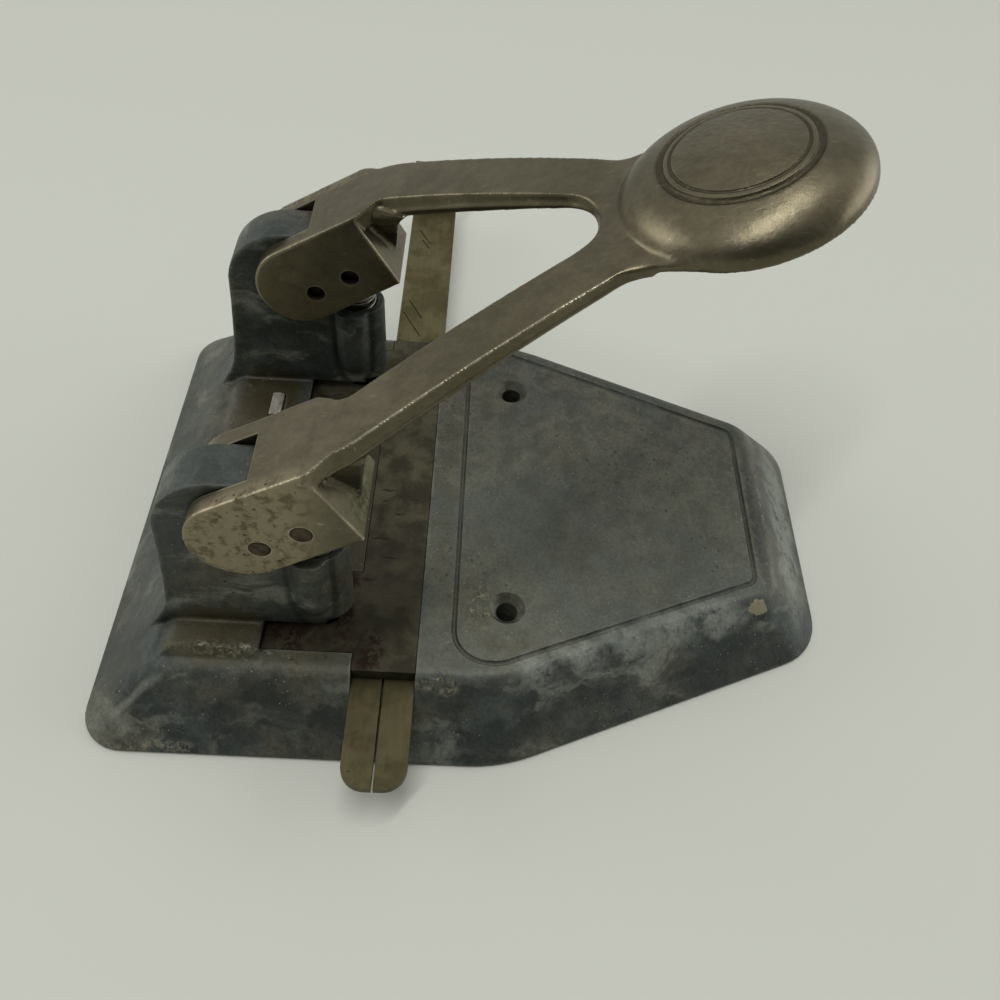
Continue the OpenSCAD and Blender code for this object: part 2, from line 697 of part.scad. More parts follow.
module punch_clip(side) {
    color(dark_colour) translate([side * half, 0, clip_z]) difference() {
        cylinder(r = washer_r - 0.4, h = clip_t);
        translate([0, 0, -eps]) cylinder(r = punch_r - clip_groove, h = 2 * clip_t);
        translate([-punch_r / 2, 0, -eps]) cube([punch_r, 2 * punch_d, 2 * clip_t]);
    }
}

// Coil swept with an eight-sided wire; the first and last turns are closed
wire_sides = 8;
turn_steps = 16;
closed_pitch = 1.05 * wire_d;
function coil_z(turn) = closed_pitch * (min(turn, 1) + max(turn - spring_turns + 1, 0))
    + (washer_z - floor_z - wire_d - 2 * closed_pitch) * min(max((turn - 1) / (spring_turns - 2), 0), 1);
module punch_spring(side) {
    rings = spring_turns * turn_steps;
    points = [for (i = [0:rings], k = [0:wire_sides - 1])
        let (a = 360 * i / turn_steps, w = 360 * k / wire_sides, r = spring_r + (cos(w) - 1) * wire_d / 2)
        [side * half + r * cos(a), r * sin(a),
            floor_z + wire_d / 2 + coil_z(i / turn_steps) + sin(w) * wire_d / 2]];
    faces = concat(
        [[for (k = [0:wire_sides - 1]) k]],
        [[for (k = [wire_sides - 1:-1:0]) rings * wire_sides + k]],
        [for (i = [0:rings - 1], k = [0:wire_sides - 1])
            [i * wire_sides + k, (i + 1) * wire_sides + k,
             (i + 1) * wire_sides + (k + 1) % wire_sides, i * wire_sides + (k + 1) % wire_sides]]);
    color(steel_colour) polyhedron(points, faces, convexity = 10);
}

// Plan of the sheet cover that closes the base from below
wall_run = max((base_w - deck_w) / 2, base_rear - deck_rear, nose_front - deck_front);
wall_lean = wall_run / (deck_h - wall - foot_lip);
cover_in = wall + cover_gap + wall_lean * (cover_rim - foot_lip);
cover_plan = inset(foot_plan, cover_in);

// Tongue at the front of the cover, with the gap g around it
tongue_l = 1.4;
module tongue(g, h) {
    translate([-tongue_w / 2 - g, -nose_front + wall + cover_gap - tongue_l - g, 0])
        cube([tongue_w + 2 * g, cover_in - wall - cover_gap + 2 * tongue_l + g, h]);
}

module bottom_cover() {
    color(bright_colour) difference() {
        union() {
            linear_extrude(cover_rim) polygon(rounded(cover_plan));
            tongue(0, cover_t);
        }
        translate([0, 0, cover_t]) linear_extrude(cover_rim) polygon(rounded(inset(cover_plan, cover_t)));
        at_desk_screws() translate([0, 0, -eps]) cylinder(d = screw_hole_d, h = 2 * cover_t);
        for (side = [left, right]) translate([side * catch_x, catch_y, -eps]) at_rivets()
            cylinder(d = rivet_d, h = 2 * cover_t);
    }
}

// A catch is a bent spring strip: foot on the cover, upright through the slot, hook over the ledge
catch_foot = 8;
rivet_spread = 4.4;
hook_z = throat_z + 0.4;
module at_rivets() {
    for (side = [left, right]) translate([side * rivet_spread / 2, -catch_foot / 2, 0]) children();
}
module catch_slot() {
    translate([-slot_long / 2, -1.3, cover_rim]) cube([slot_long, slot_wide, 2 * throat_z]);
}
module cover_catch(side) {
    color(bright_colour) translate([side * catch_x, catch_y, 0]) difference() {
        along_x(catch_w) polygon([[-catch_foot, cover_t], [catch_t, cover_t], [catch_t, hook_z],
            [catch_t + catch_hook, hook_z - 0.3], [catch_t + catch_hook, hook_z + catch_t - 0.3],
            [catch_t / 2, hook_z + catch_t], [0, hook_z + catch_t / 2], [0, cover_t + catch_t],
            [-catch_foot, cover_t + catch_t]]);
        at_rivets() cylinder(d = rivet_d, h = 4 * cover_t);
    }
}

module catch_rivets() {
    color(dark_colour) for (side = [left, right]) translate([side * catch_x, catch_y, 0]) at_rivets() {
        cylinder(d = rivet_d, h = cover_t + catch_t + eps);
        translate([0, 0, cover_t + catch_t]) cylinder(d1 = 1.6 * rivet_d, d2 = rivet_d, h = 0.8);
    }
}

base_casting();
die_plate();
die_plate_screws();
gauge_bar();
handle();
pivot_pin(left);  // pivot_pin_left
pivot_pin(right);  // pivot_pin_right
drive_pin(left);  // drive_pin_left
drive_pin(right);  // drive_pin_right
punch(left);  // punch_left
punch(right);  // punch_right
punch_spring(left);  // punch_spring_left
punch_spring(right);  // punch_spring_right
spring_washer(left);  // spring_washer_left
spring_washer(right);  // spring_washer_right
punch_clip(left);  // punch_clip_left
punch_clip(right);  // punch_clip_right
bottom_cover();
cover_catch(left);  // cover_catch_left
cover_catch(right);  // cover_catch_right
catch_rivets();
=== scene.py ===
from math import acos, atan2, copysign, cos, hypot, pi, radians, sin, sqrt, tan

import bmesh
import bpy
from mathutils import Matrix, Vector


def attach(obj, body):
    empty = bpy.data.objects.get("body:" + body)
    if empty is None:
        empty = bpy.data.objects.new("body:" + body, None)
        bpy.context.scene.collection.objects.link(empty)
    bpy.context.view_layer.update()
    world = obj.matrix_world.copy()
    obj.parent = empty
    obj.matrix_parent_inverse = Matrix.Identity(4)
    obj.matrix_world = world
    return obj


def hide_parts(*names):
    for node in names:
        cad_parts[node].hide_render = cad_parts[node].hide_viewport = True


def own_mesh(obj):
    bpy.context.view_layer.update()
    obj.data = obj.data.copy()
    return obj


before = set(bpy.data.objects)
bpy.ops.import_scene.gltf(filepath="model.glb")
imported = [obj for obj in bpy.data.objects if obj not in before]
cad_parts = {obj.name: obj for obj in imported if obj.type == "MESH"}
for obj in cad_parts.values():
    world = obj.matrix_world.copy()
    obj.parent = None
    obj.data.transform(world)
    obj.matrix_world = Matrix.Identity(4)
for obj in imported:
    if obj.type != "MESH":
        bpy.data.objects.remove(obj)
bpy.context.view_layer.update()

# Base casting. One hollow die-casting in zinc with a sloping skirt, a flat deck, the ledge that the
# paper stops against and two towers with their spring housings. The casting is left bare, so it has
# gone blue-grey and blotchy; the seat of the die plate, the bores and the screw holes are machined.
MM = 0.001
HALF = 69.85 / 2
FOOT_W, FOOT_REAR, FOOT_FRONT, FOOT_NOSE, FOOT_R = 122.8, 47.4, 108.1, 61.2, (9, 35, 13)
DECK_W, DECK_REAR, DECK_FRONT, DECK_NOSE, DECK_R = 98, 33.5, 95, 49, (3, 35, 6)
SHOULDER_Y = -37.5
DECK_Z = 14.6
THROAT_Z = 16.8
THROAT_Y = 11.7
WALL = 2.6
TOWER_W = 10
TOWER_TOP = 59
BOSS_TOP = 39
CHAMBER_R = 4.65
PUNCH_R = 3.5
PIVOT = (7.7, 47.2)
PIN_R = 1.9
PLATE_REAR, PLATE_W, PLATE_L, PLATE_T = -6.8, 12.7, 97.4, 3
TAB_W = 19.6
BAR_Y, BAR_W, BAR_T = -13.15, 12.7, 1.5
BAR_Z = DECK_Z - PLATE_T - BAR_T - 0.1
DESK_SCREW = (32.25, -37.5)
CATCH_X, CATCH_Y = 20.6, 17.6
BULGE, BULGE_Y, BULGE_Z = (7.1, 4.1, 10.8), 0.9, 27.5


def only(*objects):
    """Selects these objects and nothing else; the first one is active."""
    bpy.ops.object.select_all(action="DESELECT")
    for piece in objects:
        piece.select_set(True)
    bpy.context.view_layer.objects.active = objects[0]


def settle(piece):
    """Applies a piece's place, turn and size to its mesh."""
    only(piece)
    bpy.ops.object.transform_apply(location=True, rotation=True, scale=True)
    return piece


def edit(piece, pick):
    """Opens a piece in edit mode with the corners chosen by place selected."""
    only(piece)
    bpy.ops.object.mode_set(mode="EDIT")
    bpy.ops.mesh.select_mode(type="VERT")
    bpy.ops.mesh.select_all(action="DESELECT")
    mesh = bmesh.from_edit_mesh(piece.data)
    for vert in mesh.verts:
        vert.select_set(pick(vert.co))
    mesh.select_flush(True)


def face_out(piece):
    """Turns all faces of a piece outwards."""
    edit(piece, lambda place: True)
    bpy.ops.mesh.normals_make_consistent(inside=False)
    bpy.ops.object.mode_set(mode="OBJECT")
    return piece


def round_edges(piece, pick, width, segments=6):
    """Rounds the edges of which both ends are picked."""
    edit(piece, pick)
    bpy.ops.mesh.bevel(offset=width, segments=segments, profile=0.5, affect="EDGES", clamp_overlap=True)
    bpy.ops.object.mode_set(mode="OBJECT")


def modify(piece, kind, **settings):
    """Adds a modifier with these settings and applies it."""
    only(piece)
    modifier = piece.modifiers.new(kind, kind)
    for name, value in settings.items():
        setattr(modifier, name, value)
    bpy.ops.object.modifier_apply(modifier=modifier.name)


def carve(piece, *tools, action="DIFFERENCE"):
    """Cuts the tools out of a piece one by one, or cuts it down to what lies inside them."""
    for tool in tools:
        modify(piece, "BOOLEAN", operation=action, solver="MANIFOLD", object=tool)
        bpy.data.objects.remove(tool)
    return piece


def corner_arc(before, at, after, radius, steps):
    """Points of the arc that rounds one corner of an outline."""
    before, at, after = Vector(before), Vector(at), Vector(after)
    u, v = (before - at).normalized(), (after - at).normalized()
    half_open = u.angle(v) / 2
    middle = at + (u + v).normalized() * radius / sin(half_open)
    spoke = at + u * radius / tan(half_open) - middle
    turn = spoke.angle_signed(at + v * radius / tan(half_open) - middle)
    return [middle + Matrix.Rotation(-turn * i / steps, 2) @ spoke for i in range(steps + 1)]


def rounded(points, steps=8):
    """Outline of (x, y, radius) points with its corners rounded."""
    outline = []
    for i, (x, y, radius) in enumerate(points):
        if radius <= 0:
            outline.append(Vector((x, y)))
            continue
        after = points[(i + 1) % len(points)]
        outline += corner_arc(points[i - 1][:2], (x, y), after[:2], radius, steps)
    return outline


def inset(points, depth):
    """Moves each side of an anticlockwise outline of (x, y, radius) points inwards."""
    moved = []
    for i, (x, y, radius) in enumerate(points):
        at = Vector((x, y))
        u = (Vector(points[i - 1][:2]) - at).normalized()
        v = (Vector(points[(i + 1) % len(points)][:2]) - at).normalized()
        turn = v.x * u.y - v.y * u.x
        at = at + (u + v) * depth / turn
        moved.append((at.x, at.y, max(radius - depth * (1 if turn > 0 else -1), 0.5)))
    return moved


def slab(outline, low, high, axis="Z"):
    """Closed slab with this outline, drawn in (x, y), or in (y, z) for a slab along X."""
    bpy.ops.mesh.primitive_circle_add(vertices=len(outline), fill_type="NGON")
    piece = bpy.context.object
    for vert, (u, v) in zip(piece.data.vertices, outline):
        vert.co = (u, v, low) if axis == "Z" else (low, u, v)
    bpy.ops.object.mode_set(mode="EDIT")
    bpy.ops.mesh.select_all(action="SELECT")
    way = (0, 0, high - low) if axis == "Z" else (high - low, 0, 0)
    bpy.ops.mesh.extrude_region_move(TRANSFORM_OT_translate={"value": way})
    bpy.ops.mesh.select_all(action="SELECT")
    bpy.ops.mesh.normals_make_consistent(inside=False)
    bpy.ops.object.mode_set(mode="OBJECT")
    return piece


def block(low, high):
    """Closed box between two corners."""
    (x0, y0, z0), (x1, y1, z1) = low, high
    return slab([(x0, y0), (x1, y0), (x1, y1), (x0, y1)], z0, z1)


def drum(centre, radius, low, high, axis="Z", tip=None):
    """Closed cylinder or cone along Z, or along X with its centre in (y, z)."""
    tip = radius if tip is None else tip
    middle = (low + high) / 2
    place = (*centre, middle) if axis == "Z" else (middle, *centre)
    bpy.ops.mesh.primitive_cone_add(vertices=64, radius1=radius, radius2=tip, depth=high - low,
                                    location=place, rotation=(0, 0 if axis == "Z" else pi / 2, 0))
    return settle(bpy.context.object)


def skin(rings):
    """Closed skin over rings of equally many points, each at a height of its own."""
    hoops = []
    for height, outline in rings:
        bpy.ops.mesh.primitive_circle_add(vertices=len(outline))
        hoops.append(bpy.context.object)
        for vert, (x, y) in zip(hoops[-1].data.vertices, outline):
            vert.co = (x, y, height)
    only(*hoops)
    bpy.ops.object.join()
    piece = hoops[0]
    heights = [height for height, _ in rings]
    near = 1e-4
    for low, high in zip(heights, heights[1:]):
        edit(piece, lambda place: min(abs(place.z - low), abs(place.z - high)) < near)
        bpy.ops.mesh.bridge_edge_loops()
        bpy.ops.object.mode_set(mode="OBJECT")
    for height in (heights[0], heights[-1]):
        edit(piece, lambda place: abs(place.z - height) < near)
        bpy.ops.mesh.edge_face_add()
        bpy.ops.object.mode_set(mode="OBJECT")
    return face_out(piece)


def swept(path, radius, closed=False):
    """Round bar of this radius along a path."""
    curve = bpy.data.curves.new("bar", "CURVE")
    curve.dimensions = "3D"
    curve.bevel_depth = radius
    curve.bevel_resolution = 3
    curve.use_fill_caps = True
    spline = curve.splines.new("POLY")
    spline.points.add(len(path) - 1)
    for point, place in zip(spline.points, path):
        point.co = (*place, 1)
    spline.use_cyclic_u = closed
    piece = bpy.data.objects.new("bar", curve)
    bpy.context.scene.collection.objects.link(piece)
    only(piece)
    bpy.ops.object.convert(target="MESH")
    return bpy.context.object


def cast(parts, voxel, rounds, triangles):
    """Fuses overlapping parts into one casting with soft edges and fillets."""
    only(*parts)
    bpy.ops.object.join()
    piece = parts[0]
    modify(piece, "REMESH", mode="VOXEL", voxel_size=voxel)
    modify(piece, "SMOOTH", factor=0.5, iterations=rounds)
    share = triangles / (2 * len(piece.data.polygons))
    if share < 1:
        modify(piece, "DECIMATE", ratio=share)
    return piece


def place_piece(piece, name, body, slot, *nodes, angle=32):
    """Brings a piece to metres, smooths its shading and lets it stand for its CAD nodes."""
    piece.name = name
    piece.scale = (MM, MM, MM)
    settle(piece)
    bpy.ops.object.shade_smooth_by_angle(angle=radians(angle))
    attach(piece, body)
    if nodes:
        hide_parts(*nodes)


def rgb(red, green, blue):
    """Linear colour from the values that a screen shows."""
    return (*(((c / 255 + 0.055) / 1.055) ** 2.4 for c in (red, green, blue)), 1)


def node(tree, kind, values, **settings):
    """Adds a shader node; each input is given a value or linked to the output that makes it."""
    made = tree.nodes.new("ShaderNode" + kind)
    for name, setting in settings.items():
        setattr(made, name, setting)
    for key, value in values.items():
        if isinstance(value, bpy.types.NodeSocket):
            tree.links.new(value, made.inputs[key])
        else:
            made.inputs[key].default_value = value
    return made


def calc(tree, operation, a, b):
    """One sum of two values."""
    return node(tree, "Math", {0: a, 1: b}, operation=operation).outputs[0]


def both(tree, *masks):
    """Mask that is there only where all of these are."""
    mask = masks[0]
    for other in masks[1:]:
        mask = calc(tree, "MULTIPLY", mask, other)
    return mask


def either(tree, *masks):
    """Mask that is there where any of these is."""
    mask = masks[0]
    for other in masks[1:]:
        mask = calc(tree, "MAXIMUM", mask, other)
    return mask


def ramp(tree, value, low, high):
    """0 at low, 1 at high and smooth between them."""
    values = {"Value": value, "From Min": low, "From Max": high}
    return node(tree, "MapRange", values, interpolation_type="SMOOTHSTEP").outputs["Result"]


def spread(tree, value, low, high):
    """Straight scale from low where the value is 0 to high where it is 1."""
    return node(tree, "MapRange", {"Value": value, "To Min": low, "To Max": high}).outputs["Result"]


def tint(tree, share, under, over, way="MIX"):
    """Lays one colour over another by this share."""
    return node(tree, "Mix", {0: share, 6: under, 7: over}, data_type="RGBA", blend_type=way).outputs[2]


def lay(tree, colour, mask, share, over):
    """Lays a stain over a colour where its mask is, at most by this share."""
    return tint(tree, calc(tree, "MULTIPLY", mask, share), colour, over)


def shade_by(tree, colour, share, value, low, high):
    """Darkens a colour where a value is small and lightens it where the value is large."""
    factor = node(tree, "Mix", {0: value, 2: low, 3: high}).outputs[0]
    return tint(tree, share, colour, factor, "MULTIPLY")


def stretch(tree, place, share):
    """Place with each of its three directions scaled by its share."""
    return node(tree, "VectorMath", {0: place, 1: share}, operation="MULTIPLY").outputs[0]


def noise(tree, place, size, detail=4, rough=0.55):
    """Cloudy noise with clouds about this many millimetres across."""
    values = {"Vector": place, "Scale": 1 / size, "Detail": detail, "Roughness": rough}
    return node(tree, "TexNoise", values).outputs["Fac"]


def wander(tree, place, size, amount):
    """Place pushed about by noise, so that what is painted by place gets an uneven edge."""
    push = node(tree, "TexNoise", {"Vector": place, "Scale": 1 / size, "Detail": 4}).outputs["Color"]
    push = node(tree, "VectorMath", {0: push, 1: (0.5, 0.5, 0.5)}, operation="SUBTRACT").outputs[0]
    values = {0: push, 1: (2 * amount,) * 3, 2: place}
    return node(tree, "VectorMath", values, operation="MULTIPLY_ADD").outputs[0]


def gap_to(tree, value, at):
    """How far a value is from this one."""
    return node(tree, "Math", {0: calc(tree, "SUBTRACT", value, at)}, operation="ABSOLUTE").outputs[0]


def from_line(tree, place, start, way):
    """Distance from the line that goes through start along this way, which is 1 long."""
    away = node(tree, "VectorMath", {0: place, 1: start}, operation="SUBTRACT").outputs[0]
    away = node(tree, "VectorMath", {0: away, 1: way}, operation="CROSS_PRODUCT").outputs[0]
    return node(tree, "VectorMath", {0: away}, operation="LENGTH").outputs["Value"]


def facing_up(tree):
    """How much a point faces up: 1 on level ground, 0 on a wall."""
    way = node(tree, "TexCoord", {}).outputs["Normal"]
    return node(tree, "SeparateXYZ", {0: way}).outputs["Z"]


def spots(tree, place, *ovals):
    """Mask that is 1 in ovals with these centres and half lengths, and fades out at their edges."""
    mask = 0.0
    for centre, reach in ovals:
        away = node(tree, "VectorMath", {0: place, 1: centre}, operation="SUBTRACT").outputs[0]
        away = node(tree, "VectorMath", {0: away, 1: reach}, operation="DIVIDE").outputs[0]
        away = node(tree, "VectorMath", {0: away}, operation="LENGTH").outputs["Value"]
        mask = calc(tree, "MAXIMUM", mask, ramp(tree, away, 1.1, 0.5))
    return mask


def specks(tree, place, size, radius, share):
    """Mask of small dots on a grid of this size, of which only a share is kept."""
    dots = node(tree, "TexVoronoi", {"Vector": place, "Scale": 1 / size})
    near = ramp(tree, dots.outputs["Distance"], radius / size, 0.4 * radius / size)
    kept = calc(tree, "GREATER_THAN", noise(tree, place, 9 * size, 1), 1 - share)
    return calc(tree, "MULTIPLY", near, kept)


def bump(tree, height, depth, normal=None):
    """Normal that follows a height, of which 1 stands this many millimetres above 0."""
    values = {"Height": height, "Distance": depth * MM, "Strength": 1.0}
    if normal:
        values["Normal"] = normal
    return node(tree, "Bump", values).outputs["Normal"]


def start_finish(name):
    """New material, as its name, its tree and the object's own coordinates in millimetres."""
    finish = bpy.data.materials.new(name)
    finish.use_nodes = True
    tree = finish.node_tree
    place = node(tree, "TexCoord", {}).outputs["Object"]
    return finish, tree, stretch(tree, place, (1 / MM,) * 3)


def end_finish(tree, colour, metal, roughness, normal):
    """Links what was worked out to the material's shader."""
    shader = tree.nodes["Principled BSDF"]
    inputs = {"Base Color": colour, "Metallic": metal, "Roughness": roughness, "Normal": normal}
    for name, value in inputs.items():
        if isinstance(value, bpy.types.NodeSocket):
            tree.links.new(value, shader.inputs[name])
        else:
            shader.inputs[name].default_value = value


def corners(tree, reach):
    """How closed in a point is: 0 in the open and 1 deep in a corner, seen from this far away."""
    seen = node(tree, "AmbientOcclusion", {"Distance": reach * MM}, samples=6).outputs["AO"]
    return ramp(tree, seen, 0.95, 0.35)


def edges(tree, reach):
    """Mask of the outward edges of a piece, as wide as this many millimetres."""
    inner = node(tree, "AmbientOcclusion", {"Distance": reach * MM}, samples=8, inside=True)
    return ramp(tree, inner.outputs["AO"], 0.93, 0.6)


def zinc():
    """Bare zinc gone blue-grey and blotchy, with pale bloom, old grease, dirt and painted shade in its
    corners, and painted light, highlight and shade on its skirt.
    """
    finish, tree, place = start_finish("weathered_zinc")
    axes = node(tree, "SeparateXYZ", {0: place}).outputs
    loose = wander(tree, place, 10, 5)
    up = facing_up(tree)

    # Clouds, mottle and flecks all over
    cloud = noise(tree, loose, 24, 3)
    colour = tint(tree, ramp(tree, cloud, 0.4, 0.6), rgb(66, 72, 68), rgb(86, 85, 73))
    mottle = noise(tree, wander(tree, place, 3, 2), 5, 6, 0.68)
    colour = tint(tree, ramp(tree, mottle, 0.38, 0.6), tint(tree, 0.52, colour, rgb(34, 37, 32)), colour)
    fleck = noise(tree, wander(tree, place, 2, 1), 1.7, 9, 0.78)
    colour = shade_by(tree, colour, 0.68, fleck, 0.0, 2.0)

    # Pale bloom and dark shade on the slopes
    bloom = noise(tree, stretch(tree, loose, (0.55, 0.4, 1.2)), 8, 6, 0.66)
    bloom = both(tree, ramp(tree, bloom, 0.5, 0.66), ramp(tree, up, 1.0, 0.55))
    colour = lay(tree, colour, bloom, 0.75, rgb(130, 133, 121))
    shade = ramp(tree, noise(tree, stretch(tree, loose, (1, 0.5, 1)), 15, 5, 0.6), 0.5, 0.6)
    shade = both(tree, shade, ramp(tree, up, 0.93, 0.75))
    colour = lay(tree, colour, shade, 0.6, rgb(36, 42, 38))

    # Deck in front of the die plate, lighter on its flat top towards the near end
    deck_lighter = both(tree, ramp(tree, up, 0.9, 0.98), ramp(tree, axes["Z"], 20, 18),
                  ramp(tree, axes["X"], 45, -25), ramp(tree, axes["Y"], -18, -21))
    colour = lay(tree, colour, deck_lighter, 0.32, rgb(120, 122, 108))

    # Pale streaks under the deck's edge on the near side of the nose, painted light on the front of the nose
    # skirt, a painted highlight along the near rear corner and painted shade on the near skirt
    streaks_and_light = spots(tree, wander(tree, place, 6, 3), ((-45, -42, 12.5), (4, 7, 3)),
                   ((-42, -52, 12.5), (4, 8, 3.5)), ((-38, -62, 12.5), (4, 8, 3.5)),
                   ((-34, -72, 12.5), (5, 8, 3.5)), ((-30, -82, 12), (5, 8, 5)),
                   ((0, -104, 8), (34, 6, 7)))
    broken = ramp(tree, noise(tree, wander(tree, place, 3, 2), 3.4, 7, 0.7), 0.34, 0.52)
    colour = lay(tree, colour, both(tree, streaks_and_light, broken), 0.65, rgb(134, 139, 130))
    # Painted highlight along the ridge of the near rear corner
    corner_highlight = from_line(tree, wander(tree, place, 4, 0.7), (-56.4, 39.8, 5.9), (0.461, -0.702, 0.546))
    corner_highlight = both(tree, ramp(tree, corner_highlight, 1.3, 0.2), ramp(tree, axes["Z"], 3, 7),
                 ramp(tree, axes["Z"], 14, 11))
    colour = lay(tree, colour, corner_highlight, 0.5, rgb(134, 138, 128))
    # Painted shade on the near skirt and the near side of the nose
    shadow = spots(tree, loose, ((-45, -58, 6), (6, 9, 4)), ((-40, -72, 5), (6, 8, 4)),
                   ((-51, -27, 11), (6, 9, 4)), ((-57, -4, 6), (8, 22, 9)), ((-56, 14, 6), (7, 12, 8)))
    colour = lay(tree, colour, shadow, 0.4, rgb(34, 39, 36))

    # Grease on the ledge, round the die plate and here and there on the deck
    ledge_top = THROAT_Z + 0.2
    grease = spots(tree, wander(tree, place, 5, 3), ((-43, 21, ledge_top), (11, 11, 5)),
                   ((0, 20, ledge_top), (36, 12, 5)), ((42, 21, ledge_top), (8, 8, 4)),
                   ((0, 2, DECK_Z), (60, 21, 3)))
    stain = spots(tree, wander(tree, place, 7, 8), ((-31, -30, DECK_Z), (9, 6, 3)),
                  ((-41, -38, DECK_Z), (5, 9, 3)), ((31, -33, DECK_Z), (8, 5, 3)),
                  ((0, -23, DECK_Z), (46, 3, 3)), ((-19, -52, DECK_Z), (9, 6, 3)),
                  ((12, -50, DECK_Z), (7, 6, 3)))
    grease = either(tree, both(tree, grease, 0.9), both(tree, stain, 0.3))
    colour = tint(tree, grease, colour, rgb(72, 66, 42))
    brown = spots(tree, wander(tree, place, 5, 3), ((24, 21, ledge_top), (11, 10, 5)),
                  ((-20, 21, ledge_top), (9, 8, 4)))
    colour = lay(tree, colour, brown, 0.72, rgb(50, 42, 12))

    # Pale crust by the near screw hole, behind the near tower and low on the skirt
    crust = spots(tree, wander(tree, place, 4, 2), ((-32, -32, DECK_Z), (6, 3.5, 3)),
                  ((0, -97, DECK_Z), (26, 2, 3)), ((-46, 18, 15), (1.8, 14, 3)),
                  ((-50, -24, 13), (2.4, 5, 2.4)), ((-60, 33, 0), (5, 16, 3)))
    crumbs = noise(tree, wander(tree, place, 1.5, 1), 1.8, 6, 0.7)
    crust = both(tree, ramp(tree, crumbs, 0.46, 0.58), crust)
    colour = lay(tree, colour, crust, 0.6, rgb(138, 135, 113))

    # Painted shade and dirt in the corners, a darker band along the front of the panel, and painted shade in
    # the crease round the spring housings
    shade_and_dirt = either(tree, both(tree, corners(tree, 4), 0.6), corners(tree, 1.3))
    panel_front_band = spots(tree, wander(tree, place, 2, 0.8), ((-4, -94.3, 14), (26, 2, 2.5)))
    panel_front_band = both(tree, panel_front_band, ramp(tree, fleck, 0.36, 0.5))
    # Painted shade in the crease round each spring housing
    low_z = calc(tree, "MINIMUM", axes["Z"], BULGE_Z)
    side_on = node(tree, "CombineXYZ", {"Y": axes["Y"], "Z": low_z}).outputs[0]
    off = node(tree, "VectorMath", {0: side_on, 1: (0, BULGE_Y, BULGE_Z)}, operation="SUBTRACT")
    off = node(tree, "VectorMath", {0: off.outputs[0], 1: (1, *BULGE[1:])}, operation="DIVIDE").outputs[0]
    off = node(tree, "VectorMath", {0: off}, operation="LENGTH").outputs["Value"]
    crease_shade = both(tree, ramp(tree, off, 0.86, 1.02), ramp(tree, off, 1.4, 1.1),
                  ramp(tree, axes["Z"], THROAT_Z - 1, THROAT_Z + 0.3), ramp(tree, axes["Z"], 44, 38))
    shade_and_dirt = either(tree, shade_and_dirt, both(tree, panel_front_band, 0.8), both(tree, crease_shade, 0.85))
    colour = lay(tree, colour, shade_and_dirt, 0.8, rgb(20, 21, 15))

    # Edges worn pale, the oily seat behind the die plate, and a chip on the nose
    worn = both(tree, edges(tree, 1), ramp(tree, noise(tree, place, 6, 4), 0.35, 0.6))
    colour = lay(tree, colour, worn, 0.22, rgb(140, 142, 132))
    seat = both(tree, ramp(tree, gap_to(tree, axes["X"], 0), 27.5, 26.5), ramp(tree, axes["Z"], 15.6, 15),
                ramp(tree, axes["Y"], -8.4, -7.9), ramp(tree, axes["Y"], 11.9, 11.4))
    colour = lay(tree, colour, seat, 0.9, rgb(46, 43, 25))
    chip = spots(tree, wander(tree, place, 1.3, 1.5), ((-27.7, -91.8, 12.5), (2, 2.6, 2.4)))
    colour = tint(tree, ramp(tree, chip, 0.35, 0.45), colour, rgb(132, 128, 104))

    # Pits, dust and the grain of the casting
    pits = specks(tree, wander(tree, place, 1, 0.6), 2.2, 0.5, 0.42)
    colour = lay(tree, colour, pits, 0.55, rgb(32, 35, 31))
    dust = specks(tree, place, 1.5, 0.16, 0.5)
    colour = lay(tree, colour, dust, 0.8, rgb(168, 166, 146))
    grain = noise(tree, place, 0.7, 5, 0.75)
    colour = shade_by(tree, colour, 0.8, grain, 0.1, 1.9)

    rough = calc(tree, "ADD", spread(tree, mottle, 0.34, 0.62), both(tree, bloom, 0.15))
    normal = bump(tree, noise(tree, place, 9, 3), 0.35)
    normal = bump(tree, mottle, 0.1, normal)
    normal = bump(tree, fleck, 0.1, normal)
    normal = bump(tree, grain, 0.05, normal)
    normal = bump(tree, crust, 0.15, normal)
    normal = bump(tree, pits, -0.08, normal)
    end_finish(tree, colour, 0.35, rough, normal)
    return finish


def coat(piece, finish):
    """Gives a whole piece one finish."""
    piece.data.materials.clear()
    piece.data.materials.append(finish)
    for face in piece.data.polygons:
        face.material_index = 0


def base_plan(width, rear, front, nose, radii):
    """Plan of the base: straight sides and rear, and a nose that narrows to the front."""
    half = [(-width / 2, rear, radii[0]), (-width / 2, SHOULDER_Y, radii[1]),
            (-nose / 2, -front, radii[2])]
    return half + [(-x, y, radius) for x, y, radius in reversed(half)]


def between(low, high, share):
    """Outline part of the way from one outline to another of equally many points."""
    return [a.lerp(b, share) for a, b in zip(low, high)]


def base_block():
    """Skirt and deck as one solid, with a soft edge all round the deck."""
    foot_lip = 1.2
    edge_share, edge_steps, edge_inset = 0.13, 5, 1.9
    foot = rounded(FOOT_PLAN)
    deck = rounded(DECK_PLAN)
    skirt = between(deck, foot, edge_share)
    skirt_z = DECK_Z - edge_share * (DECK_Z - foot_lip)
    flat = rounded(inset(DECK_PLAN, edge_inset))
    rings = [(0, rounded(inset(FOOT_PLAN, 0.25))), (0.25, foot), (foot_lip, foot)]
    for i in range(edge_steps + 1):
        t = i / edge_steps
        low, high = between(skirt, deck, t), between(deck, flat, t)
        height = (1 - t) ** 2 * skirt_z + (2 * t * (1 - t) + t * t) * DECK_Z
        rings.append((height, between(low, high, t)))
    return skin(rings)


